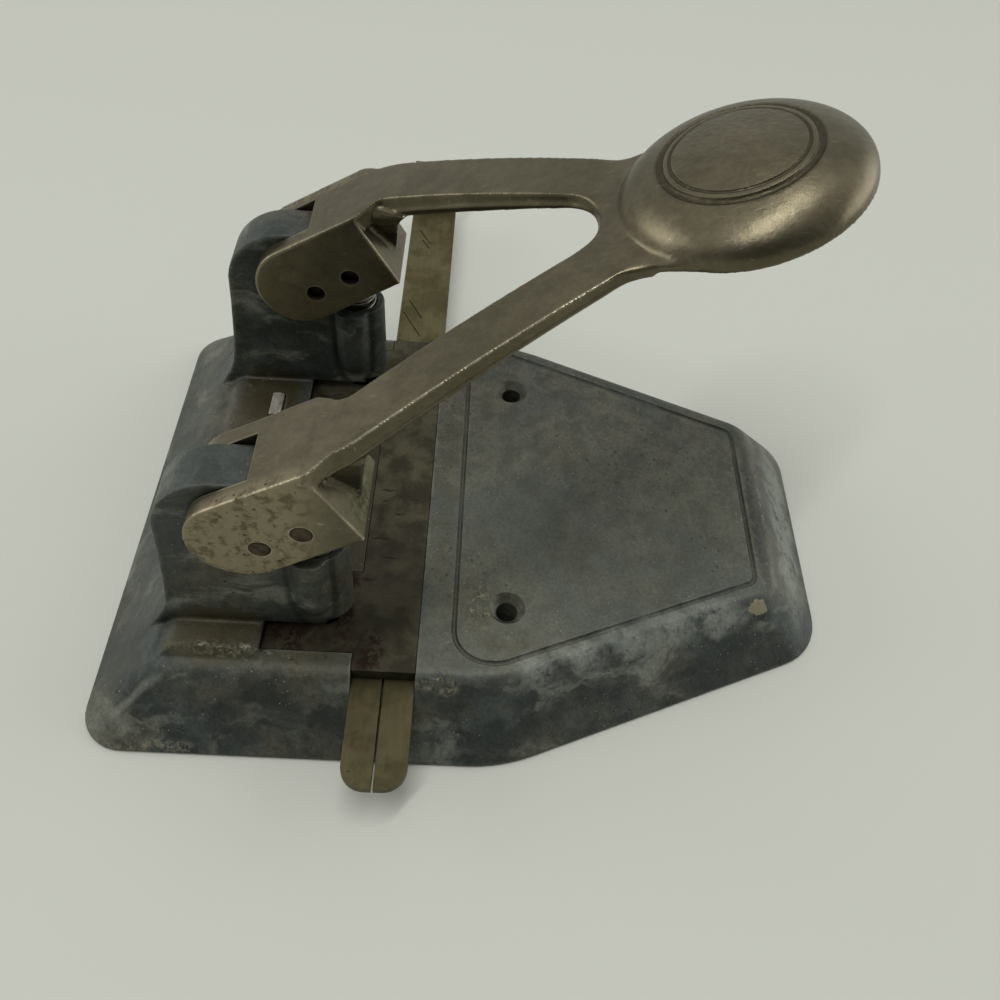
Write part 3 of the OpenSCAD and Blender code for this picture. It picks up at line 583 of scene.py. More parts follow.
def swelling(x):
    """Bulge of the spring housing on both sides of a tower, round at its lower end."""
    fullness, points = 0.7, 48
    rings = []
    for a in [radians(9 * i) for i in range(1, 11)] + [pi / 2]:
        height = BOSS_TOP if len(rings) == 10 else BULGE_Z - BULGE[2] * cos(a)
        ring = [(x + BULGE[0] * sin(a) * copysign(abs(cos(turn)) ** fullness, cos(turn)),
                 BULGE_Y + BULGE[1] * sin(a) * copysign(abs(sin(turn)) ** fullness, sin(turn)))
                for turn in (2 * pi * (i + 0.5) / points for i in range(points))]
        rings.append((height, ring))
    return skin(rings)


def tower(x):
    """One tower: a round back that flares on to the ledge, and the spring housing in front."""
    hump_y, hump_z, hump_r = 14, 45, 14
    front = CHAMBER_R - 0.45
    column_y, column_r = -1.1, 5.1
    back_soft, foot_soft = 2.2, 3
    back = [(hump_y + hump_r * sin(radians(a)), hump_z + hump_r * cos(radians(a))) for a in range(0, 91, 6)]
    foot = [(28.3, 40), (29.3, 29), (29.8, 25), (30.5, 21.5), (31.6, 18.5), (33.6, 15.2), (36.2, 11.8)]
    side = [(column_y, THROAT_Z), (column_y, BOSS_TOP), (front, BOSS_TOP), (front, 55.6)]
    side += [(front + 3.4, TOWER_TOP), *back, *foot, (THROAT_Y, 11.8), (THROAT_Y, THROAT_Z)]
    piece = slab(side, x - TOWER_W / 2, x + TOWER_W / 2, "X")
    round_edges(piece, lambda place: place.y > front + 3 and place.z > 12 and place.y + place.z > 40,
                back_soft)
    column = drum((x, column_y), column_r, THROAT_Z, BOSS_TOP)
    round_edges(column, lambda place: place.z < THROAT_Z + 0.1, foot_soft)
    return [piece, column, swelling(x)]


def tower_cuts(x):
    """Spring chamber, punch guide, pivot bore and the chip hole under one tower."""
    guide_r, chip_r, pivot_r = PUNCH_R + 0.05, 4.2, PIN_R + 0.06
    chamber = drum((x, 0), CHAMBER_R, THROAT_Z + 3, TOWER_TOP + 1)
    guide = drum((x, 0), guide_r, DECK_Z, 30)
    chip_hole = drum((x, 0), chip_r, -1, DECK_Z)
    return [chamber, guide, chip_hole, drum(PIVOT, pivot_r, x - TOWER_W, x + TOWER_W, "X")]


def plate_plan(gap):
    """Plan of the die plate: a bar with a tab under each tower."""
    front, rear = PLATE_REAR - PLATE_W - gap, PLATE_REAR + gap
    end, back = PLATE_L / 2 + gap, THROAT_Y + gap
    outline = [(-end, front), (end, front)]
    for side in (HALF, -HALF):
        outer, inner = side + TAB_W / 2 + gap, side - TAB_W / 2 - gap
        outer = min(outer, end)
        outline += [(outer, rear), (outer, back), (inner, back), (inner, rear)]
    outline.insert(2, (end, rear))
    outline.append((-end, rear))
    return outline


def inner_hollow():
    """Hollow of the base, less the beds and posts that stay solid inside it."""
    under, above = DECK_Z - WALL, 20
    hollow = skin([(-1, rounded(inset(FOOT_PLAN, WALL))), (1.2, rounded(inset(FOOT_PLAN, WALL + 0.01))),
                   (under, rounded(inset(DECK_PLAN, WALL)))])
    bar_bed_z, tab_bed_z, post_r, post_z = BAR_Z - 2.7, 8.6, 5, 0.9
    keep = [block((-62, -22.5, bar_bed_z), (62, -3.8, above))]
    for x in (-HALF, HALF):
        keep.append(block((x - 12.3, -6.8, tab_bed_z), (x + 12.3, 14.2, above)))
        keep.append(block((x - 5, 11, tab_bed_z), (x + 5, 30, above)))
    for x in (-DESK_SCREW[0], DESK_SCREW[0]):
        keep.append(drum((x, DESK_SCREW[1]), post_r, post_z, above))
    return carve(hollow, *keep)


def panel_line():
    """Engraved line round the nose panel, as a round bar to cut with."""
    rear_y, gap, lift, bar = -26.7, 3.4, 0.12, 0.62
    side = rear_y - SHOULDER_Y
    radii = (0.7 * side + gap, 0.8 * side + gap, DECK_R[2])
    plan = inset(base_plan(DECK_W, rear_y + gap, DECK_FRONT, DECK_NOSE, radii), gap)
    return swept([(p.x, p.y, DECK_Z + lift) for p in rounded(plan, 10)], bar, closed=True)


FOOT_PLAN = base_plan(FOOT_W, FOOT_REAR, FOOT_FRONT, FOOT_NOSE, FOOT_R)
DECK_PLAN = base_plan(DECK_W, DECK_REAR, DECK_FRONT, DECK_NOSE, DECK_R)
ledge = skin([(12, [(-49.6, 10), (49.6, 10), (49.6, 34.4), (-49.6, 34.4)]),
              (THROAT_Z, [(-45.9, 11.9), (45.9, 11.9), (45.9, 28.8), (-45.9, 28.8)])])
round_edges(ledge, lambda place: place.z > THROAT_Z - 0.1 and place.y > 20, 1.5)
parts = [base_block(), ledge] + tower(-HALF) + tower(HALF)
base = cast(parts, voxel=0.36, rounds=4, triangles=180000)
throat_half = PLATE_L / 2 - 2.9
throat = block((-throat_half, -30, DECK_Z), (throat_half, THROAT_Y, THROAT_Z))
carve(base, throat, inner_hollow(), *tower_cuts(-HALF), *tower_cuts(HALF))
plate_gap, past_side, past_top = 0.15, 70, 20
carve(base, slab(plate_plan(plate_gap), DECK_Z - PLATE_T, DECK_Z + 1))
channel = BAR_W / 2 + 0.1
carve(base, block((-past_side, BAR_Y - channel, BAR_Z - 0.1),
                  (past_side, BAR_Y + channel, DECK_Z - PLATE_T + 0.01)))
for x in (-past_side, PLATE_L / 2 + plate_gap):
    end = x + past_side - PLATE_L / 2 - plate_gap
    carve(base, block((x, BAR_Y - channel, BAR_Z), (end, BAR_Y + channel, DECK_Z + 3)))
screw_r, sunk_r, slot_half = 2.3, 4.1, 3.8
for x in (-DESK_SCREW[0], DESK_SCREW[0]):
    centre = (x, DESK_SCREW[1])
    carve(base, drum(centre, screw_r, -1, past_top),
          drum(centre, screw_r, DECK_Z - 1.7, DECK_Z + 0.2, tip=sunk_r))
for x in (-CATCH_X, CATCH_X):
    carve(base, block((x - slot_half, CATCH_Y - 0.4, 2.2), (x + slot_half, CATCH_Y + 1.1, past_top)))
carve(base, panel_line())
place_piece(base, "base_casting_body", "base", "zinc_casting", "base_casting")
coat(base, zinc())

# Handle. One iron casting with a clevis at each tower, two channel-shaped arms and the hollow round
# palm. It was nickel-plated and has gone warm grey; the plating is worn bright along the edges.
# The pins are pressed into its cheeks.
CHEEK_IN, CHEEK_OUT = 5.33, 9.1
CHEEK_END, CHEEK_R = Vector((11.2, 48.7)), 9.6
CHEEK_SLOPE = radians(32.4)
WEB_T, WEB_REAR, FRONT_WALL = 2.6, 8.6, 2.4
LINE_REAR, NECK_Y, NECK_W = 1.4, 51.5, 32.4
CROTCH_Y, CROTCH_R = -38, 10.3
ARM_OUT, ARM_IN, FLANGE_T = 6.4, 5.9, 2.4
DRIVE = (0, 52)
# Each ring of a gusset: its height, half its width at the back, its front, and how far the front
# reaches towards the middle of the handle and away from it
GUSSET = ((54.2, 1.5, -9.4, 1.2, 1.2), (57, 2.4, -9.8, 1.8, 1.8), (60, 3.7, -10.1, 3.1, 2.7),
          (63, 5, -10.4, 5.4, 3.8), (65.7, 5.8, -10.8, 8.2, 4.4), (67.2, 6.2, -11.4, 9.1, 4),
          (68.7, 6.4, -12.5, 9.8, 3.3))
# Points of the rim of a gusset: how far to the side and how far up the front of the clevis
GUSSET_RIM = ((5.6, 13.2), (4.9, 12), (4, 10.3), (3.3, 8.8), (2.7, 7.1), (2.2, 5.4), (2, 4))
PALM_AT, PALM_R, PALM_CROWN, PALM_TILT = (0, -71.2, 96.8), 21.28, 8.2, radians(21)
RING_R, LINE_R = 13.1, 11.3


def top_line(ahead):
    """Height of the handle's top at this distance in front of the punches."""
    return 66.54 + 0.56 * ahead - 0.0019 * ahead * ahead


def under_line(near, far, steps=14):
    """Line in (y, z) below the handle's top, from the depth near at the towers to far at the palm."""
    line = []
    for i in range(steps + 1):
        ahead = LINE_REAR + (NECK_Y + 10 - LINE_REAR) * i / steps
        line.append((-ahead, top_line(ahead) - near - (far - near) * (i / steps) ** 1.6))
    return line


def arm_band(top, low):
    """Slab across the whole handle between two depths below its top line."""
    return slab(under_line(*top) + under_line(*low)[::-1], -62, 62, "X")


def arms_outline():
    """Outer plan of the two arms and the neck, as (x, y, radius) points."""
    root = HALF + ARM_OUT
    side = [(-HALF - CHEEK_OUT, -LINE_REAR, 0), (-HALF - CHEEK_OUT + 0.3, -LINE_REAR - 1.2, 1.2),
            (-root + 0.2, -5.6, 4), (-root + 1, -9, 12), (-NECK_W / 2, -NECK_Y, 8),
            (-NECK_W / 2 - 0.1, -NECK_Y - 4, 7), (-NECK_W / 2 - 2.7, -NECK_Y - 10, 0)]
    return side + [(-x, y, radius) for x, y, radius in reversed(side)]


def crotch_outline(grow):
    """Plan of the opening between the arms: a circle with two tangents that flare out at the towers."""
    root = Vector((HALF - ARM_IN, -5.6))
    way = root - Vector((0, CROTCH_Y))
    tangent = atan2(way.y, way.x) - acos(CROTCH_R / way.length)
    out = Vector((cos(tangent), sin(tangent)))
    reach = CROTCH_R + grow
    bend = root + out * grow
    flare = HALF - CHEEK_OUT + grow
    half = [(flare, 2, 0), (flare, -LINE_REAR - 0.4, 1.5), (bend.x, bend.y - 1, 3)]
    half = [(p.x, p.y) for p in rounded(half + [(*(reach * out + Vector((0, CROTCH_Y))), 0)], 6)]
    sweep = pi / 2 + tangent
    for i in range(1, 17):
        a = tangent - sweep * i / 16
        half.append((reach * cos(a), CROTCH_Y + reach * sin(a)))
    return half + [(-x, y) for x, y in reversed(half[:-1])]


def arms():
    """The two arms and the neck as one channel, open underneath."""
    piece = slab(rounded(arms_outline()), 30, 130)
    carve(piece, slab(crotch_outline(0), 20, 140))
    carve(piece, arm_band((0, 0), (5, 1.7)), action="INTERSECT")
    inner = slab(rounded(inset(arms_outline(), FLANGE_T)), 31, 129)
    carve(inner, slab(crotch_outline(FLANGE_T), 20, 140))
    carve(inner, arm_band((WEB_T, WEB_T - 0.2), (9, 7)), action="INTERSECT")
    return carve(piece, inner)


def along_flange(path, drop):
    """Small round bead that follows a flange at this depth below the handle's top."""
    points = []
    for a, b in zip(path, path[1:]):
        a, b = Vector(a), Vector(b)
        count = max(1, int((b - a).length / 2.5))
        points += [a.lerp(b, i / count) for i in range(count)]
    return swept([(p.x, p.y, top_line(-p.y) - drop * (1 - 0.4 * -p.y / NECK_Y)) for p in points], 0.5)


def clevis_side():
    """Side of a clevis in (y, z): round at the rear, square at the front."""
    ahead = Vector((-cos(CHEEK_SLOPE), sin(CHEEK_SLOPE)))
    down = Vector((-sin(CHEEK_SLOPE), -cos(CHEEK_SLOPE)))
    reach = 18 + (Vector(PIVOT) - CHEEK_END).dot(ahead)
    low = CHEEK_END + CHEEK_R * down + reach * ahead
    high = Vector((-LINE_REAR, top_line(LINE_REAR)))
    first, last = radians(90 - 28.05), radians(-90 - 32.4)
    arc = [CHEEK_END + CHEEK_R * Vector((cos(a), sin(a)))
           for a in (first + (last - first) * i / 24 for i in range(25))]
    return low, high, arc


def clevis(x):
    """One clevis as a solid block, before it is hollowed for the tower."""
    low, high, arc = clevis_side()
    return slab([low, high, *arc], x - CHEEK_OUT, x + CHEEK_OUT, "X")


def gusset(x):
    """Bracket under the root of an arm that narrows to a foot on the front of its clevis."""
    low, high, _ = clevis_side()
    slope = (high.x - low.x) / (high.y - low.y)
    side = copysign(1, x)
    rings = []
    for height, half, front, inner, outer in GUSSET:
        back = min(low.x + slope * (height - low.y), -(height + 0.9 - top_line(0)) / 0.56 - 1) + 1
        rings.append((height, [(x - side * half, back), (x + side * half, back), (x + side * outer, front),
                               (x - side * inner, front)]))
    return skin(rings)


def gusset_rim(x, side):
    """Fine raised line along the foot of a gusset."""
    low, high, _ = clevis_side()
    rise = (high - low).normalized()
    return swept([(x + side * across, *(low + up * rise)) for across, up in GUSSET_RIM], 0.42)


def clevis_cuts(x):
    """Space between the cheeks, behind the front wall, and the two pin holes."""
    low, high, _ = clevis_side()
    wall_high = high + Vector((2.2, -WEB_T - 1.2))
    rise = (wall_high - low).normalized()
    inward = FRONT_WALL * Vector((rise.y, -rise.x))
    space = [CHEEK_END + Vector((19, -19)), low + inward - 14 * rise, wall_high + inward,
             Vector((WEB_REAR, top_line(-WEB_REAR) - WEB_T)), Vector((WEB_REAR, 75)),
             CHEEK_END + Vector((19, 26))]
    holes = [drum(at, PIN_R + 0.1, x - 12, x + 12, "X") for at in (PIVOT, DRIVE)]
    return [slab(space, x - CHEEK_IN, x + CHEEK_IN, "X"), *holes]


def dome(radius, crown, low):
    """Half of an oval ball with an upright rim, tilted into the palm's place."""
    bpy.ops.mesh.primitive_uv_sphere_add(segments=96, ring_count=48, radius=1)
    piece = bpy.context.object
    piece.scale = (radius, radius, crown)
    edit(settle(piece), lambda place: True)
    bpy.ops.mesh.bisect(plane_co=(0, 0, 0), plane_no=(0, 0, 1), use_fill=True, clear_inner=True)
    bpy.ops.object.mode_set(mode="OBJECT")
    edit(piece, lambda place: abs(place.z) < 1e-4)
    bpy.ops.mesh.extrude_region_move(TRANSFORM_OT_translate={"value": (0, 0, -low)})
    bpy.ops.object.mode_set(mode="OBJECT")
    return tilt(face_out(piece))


def tilt(piece):
    """Turns a piece made flat at the origin into the palm's place."""
    piece.rotation_euler = (-PALM_TILT, 0, 0)
    piece.location = PALM_AT
    return settle(piece)


def palm_ring(radius, bar, lift):
    """Ring to cut a round groove into the palm with."""
    height = PALM_CROWN * sqrt(1 - (radius / PALM_R) ** 2) + lift
    bpy.ops.mesh.primitive_torus_add(major_radius=radius, minor_radius=bar, major_segments=160,
                                     minor_segments=16, location=(0, 0, height))
    return tilt(settle(bpy.context.object))


def nickel():
    """Worn nickel on iron: warm grey, bright along its edges with a painted highlight on the near arm, brown
    grime and painted shade in its corners and under the arms, painted shade down its flanks, painted light
    on the far clevis, rusty in places.
    """
    finish, tree, place = start_finish("worn_nickel")
    axes = node(tree, "SeparateXYZ", {0: place}).outputs
    up = facing_up(tree)

    # Soft clouds and haze, painted shade down the flanks, and fine speckles
    soft = noise(tree, wander(tree, place, 12, 6), 18, 4)
    colour = tint(tree, ramp(tree, soft, 0.38, 0.62), rgb(109, 102, 82), rgb(121, 113, 92))
    haze = noise(tree, stretch(tree, place, (1, 0.5, 0.8)), 3.2, 6, 0.65)
    colour = tint(tree, ramp(tree, haze, 0.62, 0.36), colour, tint(tree, 0.2, colour, rgb(60, 54, 42)))
    flank_shade = both(tree, ramp(tree, up, 0.45, 0.1), ramp(tree, axes["Y"], -4, -8))
    colour = lay(tree, colour, flank_shade, 0.3, rgb(60, 54, 36))
    fine = noise(tree, wander(tree, place, 1.2, 0.7), 1.5, 8, 0.75)
    colour = tint(tree, ramp(tree, fine, 0.62, 0.42), colour, tint(tree, 0.16, colour, rgb(40, 34, 22)))

    # Painted shade and dirt under the roots of the arms, with green crumbs on the near clevis
    hollow = spots(tree, wander(tree, place, 2, 1), ((-HALF, -9, 58), (8, 5, 7)),
                   ((HALF, -9, 58), (8, 5, 7)))
    colour = lay(tree, colour, hollow, 0.4, rgb(56, 54, 34))
    mould = spots(tree, wander(tree, place, 2, 1), ((-35, -10, 53.5), (9, 4, 5)),
                  ((-28, -8, 60), (4, 6, 9)))
    colour = lay(tree, colour, mould, 0.45, rgb(80, 86, 50))
    crumbs = noise(tree, wander(tree, place, 1, 0.6), 1.3, 7, 0.75)
    colour = lay(tree, colour, both(tree, mould, ramp(tree, crumbs, 0.5, 0.4)), 0.7, rgb(40, 40, 20))
    colour = lay(tree, colour, both(tree, mould, ramp(tree, crumbs, 0.54, 0.64)), 0.7, rgb(140, 142, 106))

    # Cheeks: pale with rusty blotches and pits on the outer ones, and painted light on the far clevis
    cheeks = ramp(tree, axes["Y"], -6, 2)
    outer = ramp(tree, gap_to(tree, axes["X"], 0), 40, 43)
    blotch = noise(tree, wander(tree, place, 2, 1), 2.6, 9, 0.72)
    blotch = both(tree, ramp(tree, blotch, 0.48, 0.6), either(tree, outer, 0.35), cheeks)
    pale = both(tree, outer, cheeks)
    colour = lay(tree, colour, pale, 0.44, rgb(164, 154, 124))
    colour = lay(tree, colour, blotch, 0.6, rgb(80, 66, 48))
    # Painted light on the far clevis's inner cheek, on its face towards the middle
    far_cheek_light = spots(tree, place, ((HALF - CHEEK_OUT, 9, 50), (1.5, 22, 20)))
    colour = lay(tree, colour, far_cheek_light, 0.3, rgb(170, 162, 130))
    pits = both(tree, specks(tree, place, 1.4, 0.4, 0.5), pale)
    colour = lay(tree, colour, pits, 0.8, rgb(46, 32, 22))

    # Painted shade and grime in the corners, and grime in the palm's two rings
    from_axis = from_line(tree, place, PALM_AT, (0, sin(PALM_TILT), cos(PALM_TILT)))
    on_palm = ramp(tree, axes["Z"], 93, 96)
    rings = either(tree, ramp(tree, gap_to(tree, from_axis, RING_R), 1.0, 0.45),
                   ramp(tree, gap_to(tree, from_axis, LINE_R), 0.5, 0.2))
    rings = both(tree, rings, on_palm)
    field = both(tree, ramp(tree, from_axis, 11, 10.6), on_palm)
    shade_and_grime = either(tree, corners(tree, 3.5), both(tree, rings, 0.7))
    colour = lay(tree, colour, shade_and_grime, 0.85, rgb(40, 36, 22))

    # Edges rubbed bright, with a painted highlight along the near arm's edges on top of the wear, and hair
    # scratches
    shiny = both(tree, edges(tree, 0.6), ramp(tree, noise(tree, place, 9, 3), 0.2, 0.6))
    near_arm_highlight = both(tree, ramp(tree, axes["Y"], -6, -9), ramp(tree, axes["X"], -14, -18))
    colour = tint(tree, both(tree, shiny, spread(tree, near_arm_highlight, 0.42, 0.95)), colour, rgb(196, 188, 164))
    hairs = noise(tree, stretch(tree, wander(tree, place, 20, 4), (3.2, 0.22, 0.6)), 1.1, 3, 0.6)
    colour = lay(tree, colour, ramp(tree, hairs, 0.66, 0.72), 0.25, rgb(190, 184, 164))

    rough = calc(tree, "ADD", spread(tree, haze, 0.25, 0.42), both(tree, shade_and_grime, 0.25))
    rough = calc(tree, "ADD", rough, both(tree, blotch, 0.18))
    normal = bump(tree, noise(tree, place, 8, 3), 0.16)
    normal = bump(tree, haze, 0.05, normal)
    normal = bump(tree, noise(tree, place, 0.5, 3, 0.6), 0.02, normal)
    pebbles = node(tree, "TexVoronoi", {"Vector": place, "Scale": 1 / 0.9}, feature="SMOOTH_F1")
    normal = bump(tree, both(tree, pebbles.outputs["Distance"], either(tree, field, rings)), -0.12, normal)
    end_finish(tree, colour, 0.9, rough, normal)
    return finish


palm = dome(PALM_R, PALM_CROWN, 1.2)
bead_near, bead_far = -4, -61
outer_edge = [p for p in rounded(arms_outline()) if p.x < 0 and bead_far < p.y < bead_near]
inner_edge = [p for p in crotch_outline(0.1) if p[1] < bead_near]
beads = [along_flange([(x + 0.1, y) for x, y in outer_edge], 4.3),
         along_flange([(-x - 0.1, y) for x, y in outer_edge], 4.3), along_flange(inner_edge, 3.6)]
gussets = [gusset(-HALF), gusset(HALF)]
gussets += [gusset_rim(x, side) for x in (-HALF, HALF) for side in (-1, 1)]
parts = [arms(), clevis(-HALF), clevis(HALF), palm, *gussets, *beads]
handle = cast(parts, voxel=0.27, rounds=8, triangles=180000)
# The neck flows into the palm: their joint is smoothed, less and less towards the palm's middle
neck = handle.vertex_groups.new(name="neck")
for vert in handle.data.vertices:
    from_rim = abs(hypot(vert.co.x, (vert.co.y - PALM_AT[1]) / cos(PALM_TILT)) - PALM_R)
    share = min(1, 1.6 - from_rim / 5) * min(1, (vert.co.y + 71) / 12)
    if share > 0:
        neck.add([vert.index], share, "REPLACE")
modify(handle, "SMOOTH", factor=0.6, iterations=70, vertex_group="neck")
carve(handle, *clevis_cuts(-HALF), *clevis_cuts(HALF))
palm_wall = 3
carve(handle, dome(PALM_R - palm_wall, PALM_CROWN - palm_wall, 4))
carve(handle, palm_ring(RING_R, 0.85, 0.4), palm_ring(LINE_R, 0.4, 0.15))
place_piece(handle, "handle_casting", "handle", "nickel_casting", "handle")
coat(handle, nickel())

# Steel parts that keep their own shape: the die plate let into the deck, the gauge bar under it, the
# hollow-ground punches, washers, clips, screws and rivets and the bottom cover. Each has the finish
# of its own metal.
def steel(name, light, dark, size, metal=0.9, rough=0.4, brushed=(1, 1, 1), shade_and_dirt=0.6,
          rust=(), marks=(), shade=()):
    """Used steel: two tones in clouds, hair scratches, dark nicks, dirt and painted shade in corners,
    painted shade and rust by place.
    """
    finish, tree, place = start_finish(name)
    cloud = noise(tree, wander(tree, place, size, 0.4 * size), size, 6, 0.62)
    colour = tint(tree, ramp(tree, cloud, 0.38, 0.62), dark, light)
    fine = noise(tree, stretch(tree, place, brushed), 0.8, 4, 0.6)
    colour = shade_by(tree, colour, 0.5, fine, 0.45, 1.4)
    # Painted shade over the given ovals
    painted_shade = spots(tree, wander(tree, place, 12, 8), *shade)
    colour = lay(tree, colour, painted_shade, 0.42, rgb(26, 23, 13))
    nicks = noise(tree, stretch(tree, wander(tree, place, 5, 2), (1.6, 0.35, 1)), 1.4, 3, 0.5)
    nicks = either(tree, ramp(tree, nicks, 0.70, 0.74), spots(tree, wander(tree, place, 1.5, 0.8), *marks))
    colour = lay(tree, colour, nicks, 0.8, rgb(20, 16, 10))
    rusty = spots(tree, wander(tree, place, 3, 2.4), *rust)
    flakes = noise(tree, wander(tree, place, 2, 1), 1.7, 9, 0.7)
    rusty = both(tree, rusty, ramp(tree, flakes, 0.4, 0.54))
    colour = lay(tree, colour, rusty, 0.95, rgb(40, 20, 6))
    # Painted shade and dirt in the corners
    colour = lay(tree, colour, corners(tree, 2.5), shade_and_dirt, rgb(18, 16, 10))
    roughness = calc(tree, "ADD", spread(tree, cloud, rough - 0.1, rough + 0.15), both(tree, rusty, 0.3))
    soft = node(tree, "Bevel", {"Radius": 0.2 * MM}, samples=4).outputs["Normal"]
    normal = bump(tree, fine, 0.015, soft)
    normal = bump(tree, calc(tree, "ADD", nicks, rusty), 0.03, normal)
    end_finish(tree, colour, metal, roughness, normal)
    return finish


plate_rust = [((-44, -10, DECK_Z), (6, 4, 4)), ((-33, -4, DECK_Z), (14, 2.5, 4)),
              ((-40, 6, DECK_Z), (7, 7, 4))]
plate_nicks = [((-2, -10, 15), (0.5, 2, 2)), ((-16, -9.6, 15), (0.5, 2.4, 2)),
               ((-4.5, -16, 15), (0.4, 1.6, 2)), ((-21, -12, 15), (0.5, 1.8, 2)),
               ((-9, -13, 15), (0.4, 1.5, 2)), ((-27, -8, 15), (0.5, 1.6, 2))]
plate_steel = steel("plate_steel", rgb(84, 80, 60), rgb(52, 48, 33), size=7, metal=0.6, rough=0.5,
                    shade_and_dirt=0.8, rust=plate_rust, marks=plate_nicks, shade=[((-32, -4, DECK_Z), (38, 24, 6))])
bar_steel = steel("bar_steel", rgb(108, 101, 70), rgb(84, 78, 48), size=9, metal=0.75, rough=0.42,
                  brushed=(0.08, 1.2, 1), shade=[((-66, BAR_Y, 11), (28, 14, 6))])
ground_steel = steel("ground_steel", rgb(190, 188, 178), rgb(160, 156, 146), size=4, metal=1, rough=0.28,
                     brushed=(1, 1, 4), shade_and_dirt=0.4)
dark_steel = steel("dark_steel", rgb(82, 70, 54), rgb(46, 38, 29), size=1.6, metal=0.8, rough=0.45, shade_and_dirt=0.5)
cover_steel = steel("cover_steel", rgb(150, 150, 142), rgb(118, 118, 108), size=9, rough=0.38,
                    brushed=(0.1, 1.5, 1))
coat(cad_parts["die_plate"], plate_steel)
coat(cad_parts["gauge_bar"], bar_steel)
coat(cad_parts["bottom_cover"], cover_steel)
for name in ("die_plate_screws", "catch_rivets", "punch_clip_left", "punch_clip_right"):
    coat(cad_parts[name], dark_steel)
for name in ("punch_left", "punch_right", "spring_washer_left", "spring_washer_right"):
    coat(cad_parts[name], ground_steel)

# Pins. Short steel pins pressed through both cheeks, their ends peened over and gone brown; the
# rear pair is the handle's pivot and the front pair pushes the punches.
PIN_PROUD, PIN_SHORT, PIN_GAP, PIN_PEEN = 0.15, 2, 0.03, 0.45
for side, x in (("left", -HALF), ("right", HALF)):
    for kind, at in (("pivot", PIVOT), ("drive", DRIVE)):
        ends = sorted([x + copysign(CHEEK_OUT + PIN_PROUD, x), x - copysign(CHEEK_OUT - PIN_SHORT, x)])
        pin = drum(at, PIN_R - PIN_GAP, *ends, "X")
        round_edges(pin, lambda place: min(abs(place.x - end) for end in ends) < 0.01, PIN_PEEN, 4)
        place_piece(pin, f"{kind}_pin_{side}_rod", "handle", "dark_steel", f"{kind}_pin_{side}")
        coat(pin, dark_steel)

# Punch springs. Round spring wire coiled in the towers, closed at both ends, dark with oil. They
# push the punches up and press together as these go down.
spring_steel = steel("spring_steel", rgb(150, 150, 140), rgb(104, 102, 92), size=1.5, metal=1, rough=0.32,
                     shade_and_dirt=0.7)
WIRE_R, SPRING_R, SPRING_TURNS, SPRING_LOW, SPRING_HIGH, STROKE = 0.4, 4.0, 7, 19.8, 41.5, 6
coil_low, coil_high, end_pitch, steps = SPRING_LOW + WIRE_R, SPRING_HIGH - WIRE_R, 2.1 * WIRE_R, 40
for side, x in (("left", -HALF), ("right", HALF)):
    wire = []
    for i in range(SPRING_TURNS * steps + 1):
        turn = i / steps
        middle = min(max((turn - 1) / (SPRING_TURNS - 2), 0), 1)
        ends = end_pitch * (min(turn, 1) + max(turn - SPRING_TURNS + 1, 0))
        height = coil_low + ends + (coil_high - coil_low - 2 * end_pitch) * middle
        wire.append((x + SPRING_R * cos(2 * pi * turn), SPRING_R * sin(2 * pi * turn), height))
    spring = swept(wire, WIRE_R)
    place_piece(spring, f"punch_spring_{side}_coil", "base", "spring_steel", f"punch_spring_{side}")
    coat(spring, spring_steel)
    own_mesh(spring)

# Cover catches. Bright strips of spring steel riveted to the bottom cover; each comes up through a
# slot in the ledge and its bent end hooks over the edge of the slot.
catch_steel = steel("catch_steel", rgb(222, 218, 204), rgb(190, 186, 170), size=3, metal=0.8, rough=0.36,
                    brushed=(1, 1, 0.2), shade_and_dirt=0.1)
CATCH_W, CATCH_T, CATCH_FOOT, CATCH_HOOK, CATCH_LOW = 7, 0.7, 6, 2, 0.8
for side, x in (("left", -CATCH_X), ("right", CATCH_X)):
    top = THROAT_Z + 0.4 + CATCH_T
    under = top - CATCH_T
    foot, rear = CATCH_Y - CATCH_FOOT, CATCH_Y + CATCH_T
    hook = rear + CATCH_HOOK
    outline = [(foot, CATCH_LOW, 0), (rear, CATCH_LOW, 1.2), (rear, under, 0.4), (hook, under - 0.25, 0),
               (hook, top - 0.3, 0.3), (CATCH_Y, top, 1), (CATCH_Y, CATCH_LOW + CATCH_T, 0.5),
               (foot, CATCH_LOW + CATCH_T, 0)]
    catch = slab(rounded(outline, 6), x - CATCH_W / 2, x + CATCH_W / 2, "X")
    place_piece(catch, f"cover_catch_{side}_strip", "base", "cover_steel", f"cover_catch_{side}")
    coat(catch, catch_steel)

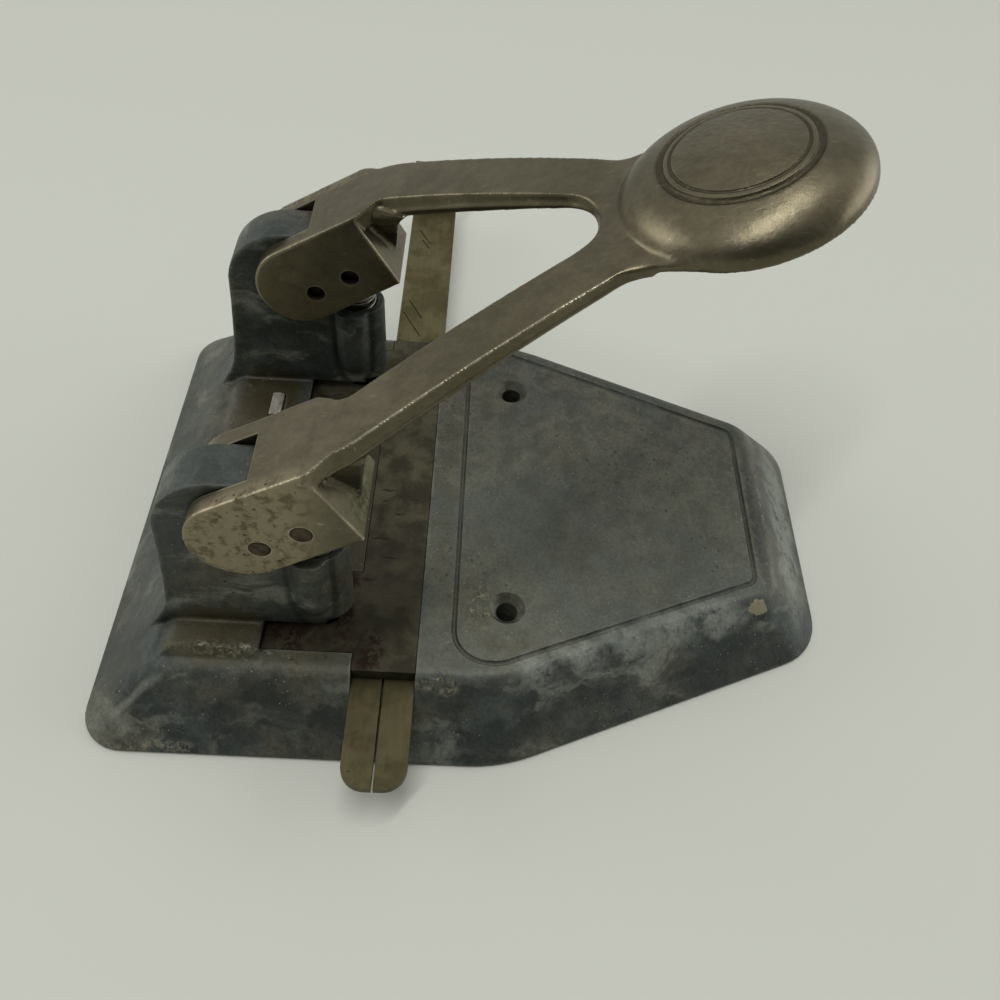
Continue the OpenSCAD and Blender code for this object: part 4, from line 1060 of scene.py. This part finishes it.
# Camera, floor and lamps, as the object was photographed: from above its near end, on white paper,
# with a lamp overhead and wide soft light from the front and the rear. None of this is the object.
FOCAL = 0.98063
camera_at = Vector((-145.15, -28.47, 187.36)) * MM
yaw, pitch, roll = radians(-2.79), radians(50.55), radians(5.25)
look = Vector((cos(pitch) * cos(yaw), cos(pitch) * sin(yaw), -sin(pitch)))
level = look.cross(Vector((0, 0, 1))).normalized()
rise = level.cross(look)
right = level * cos(roll) + rise * sin(roll)
up = rise * cos(roll) - level * sin(roll)
bpy.ops.object.camera_add(location=camera_at)
camera = bpy.context.object
camera.data.sensor_width = 36
camera.data.lens = FOCAL * camera.data.sensor_width
camera.rotation_euler = Matrix((right, up, -look)).transposed().to_euler()
camera.data.clip_start = 0.01
bpy.context.scene.camera = camera

bpy.ops.mesh.primitive_plane_add(size=30)
floor = bpy.context.object
floor.name = "floor"
paper = bpy.data.materials.new("paper")
paper.use_nodes = True
paper.node_tree.nodes["Principled BSDF"].inputs["Base Color"].default_value = (0.6, 0.61, 0.55, 1)
paper.node_tree.nodes["Principled BSDF"].inputs["Roughness"].default_value = 0.9
floor.data.materials.append(paper)

world = bpy.data.worlds.new("room")
world.use_nodes = True
sky = world.node_tree
way = node(sky, "SeparateXYZ", {0: node(sky, "TexCoord", {}).outputs["Generated"]}).outputs["X"]
light = tint(sky, ramp(sky, way, -0.8, 0.0), (0.2, 0.2, 0.19, 1), (0.95, 0.97, 0.93, 1))
seen = node(sky, "LightPath", {}).outputs["Is Camera Ray"]
light = tint(sky, seen, light, (0.94, 0.96, 0.88, 1))
sky.links.new(light, sky.nodes["Background"].inputs["Color"])
sky.nodes["Background"].inputs["Strength"].default_value = 0.55
bpy.context.scene.world = world


def lamp(name, place, aim, width, length, watts):
    """Soft lamp that shines from its place towards the aim."""
    bpy.ops.object.light_add(type="AREA", location=place)
    made = bpy.context.object
    made.name = name
    made.data.shape = "RECTANGLE"
    made.data.size, made.data.size_y = width, length
    made.data.energy = watts
    made.rotation_euler = (Vector(aim) - Vector(place)).to_track_quat("-Z", "Y").to_euler()


lamp("ceiling_lamp", (-0.16, 0.12, 1.2), (0, 0, 0), 0.06, 1.1, 6.2)
lamp("front_window", (0.3, -1.4, 0.5), (0, 0, 0.03), 1.5, 0.9, 6.5)
lamp("rear_window", (0.2, 1.4, 0.5), (0, 0, 0.03), 1.0, 0.6, 4.5)

scene_view = bpy.context.scene.view_settings
scene_view.view_transform = "Standard"
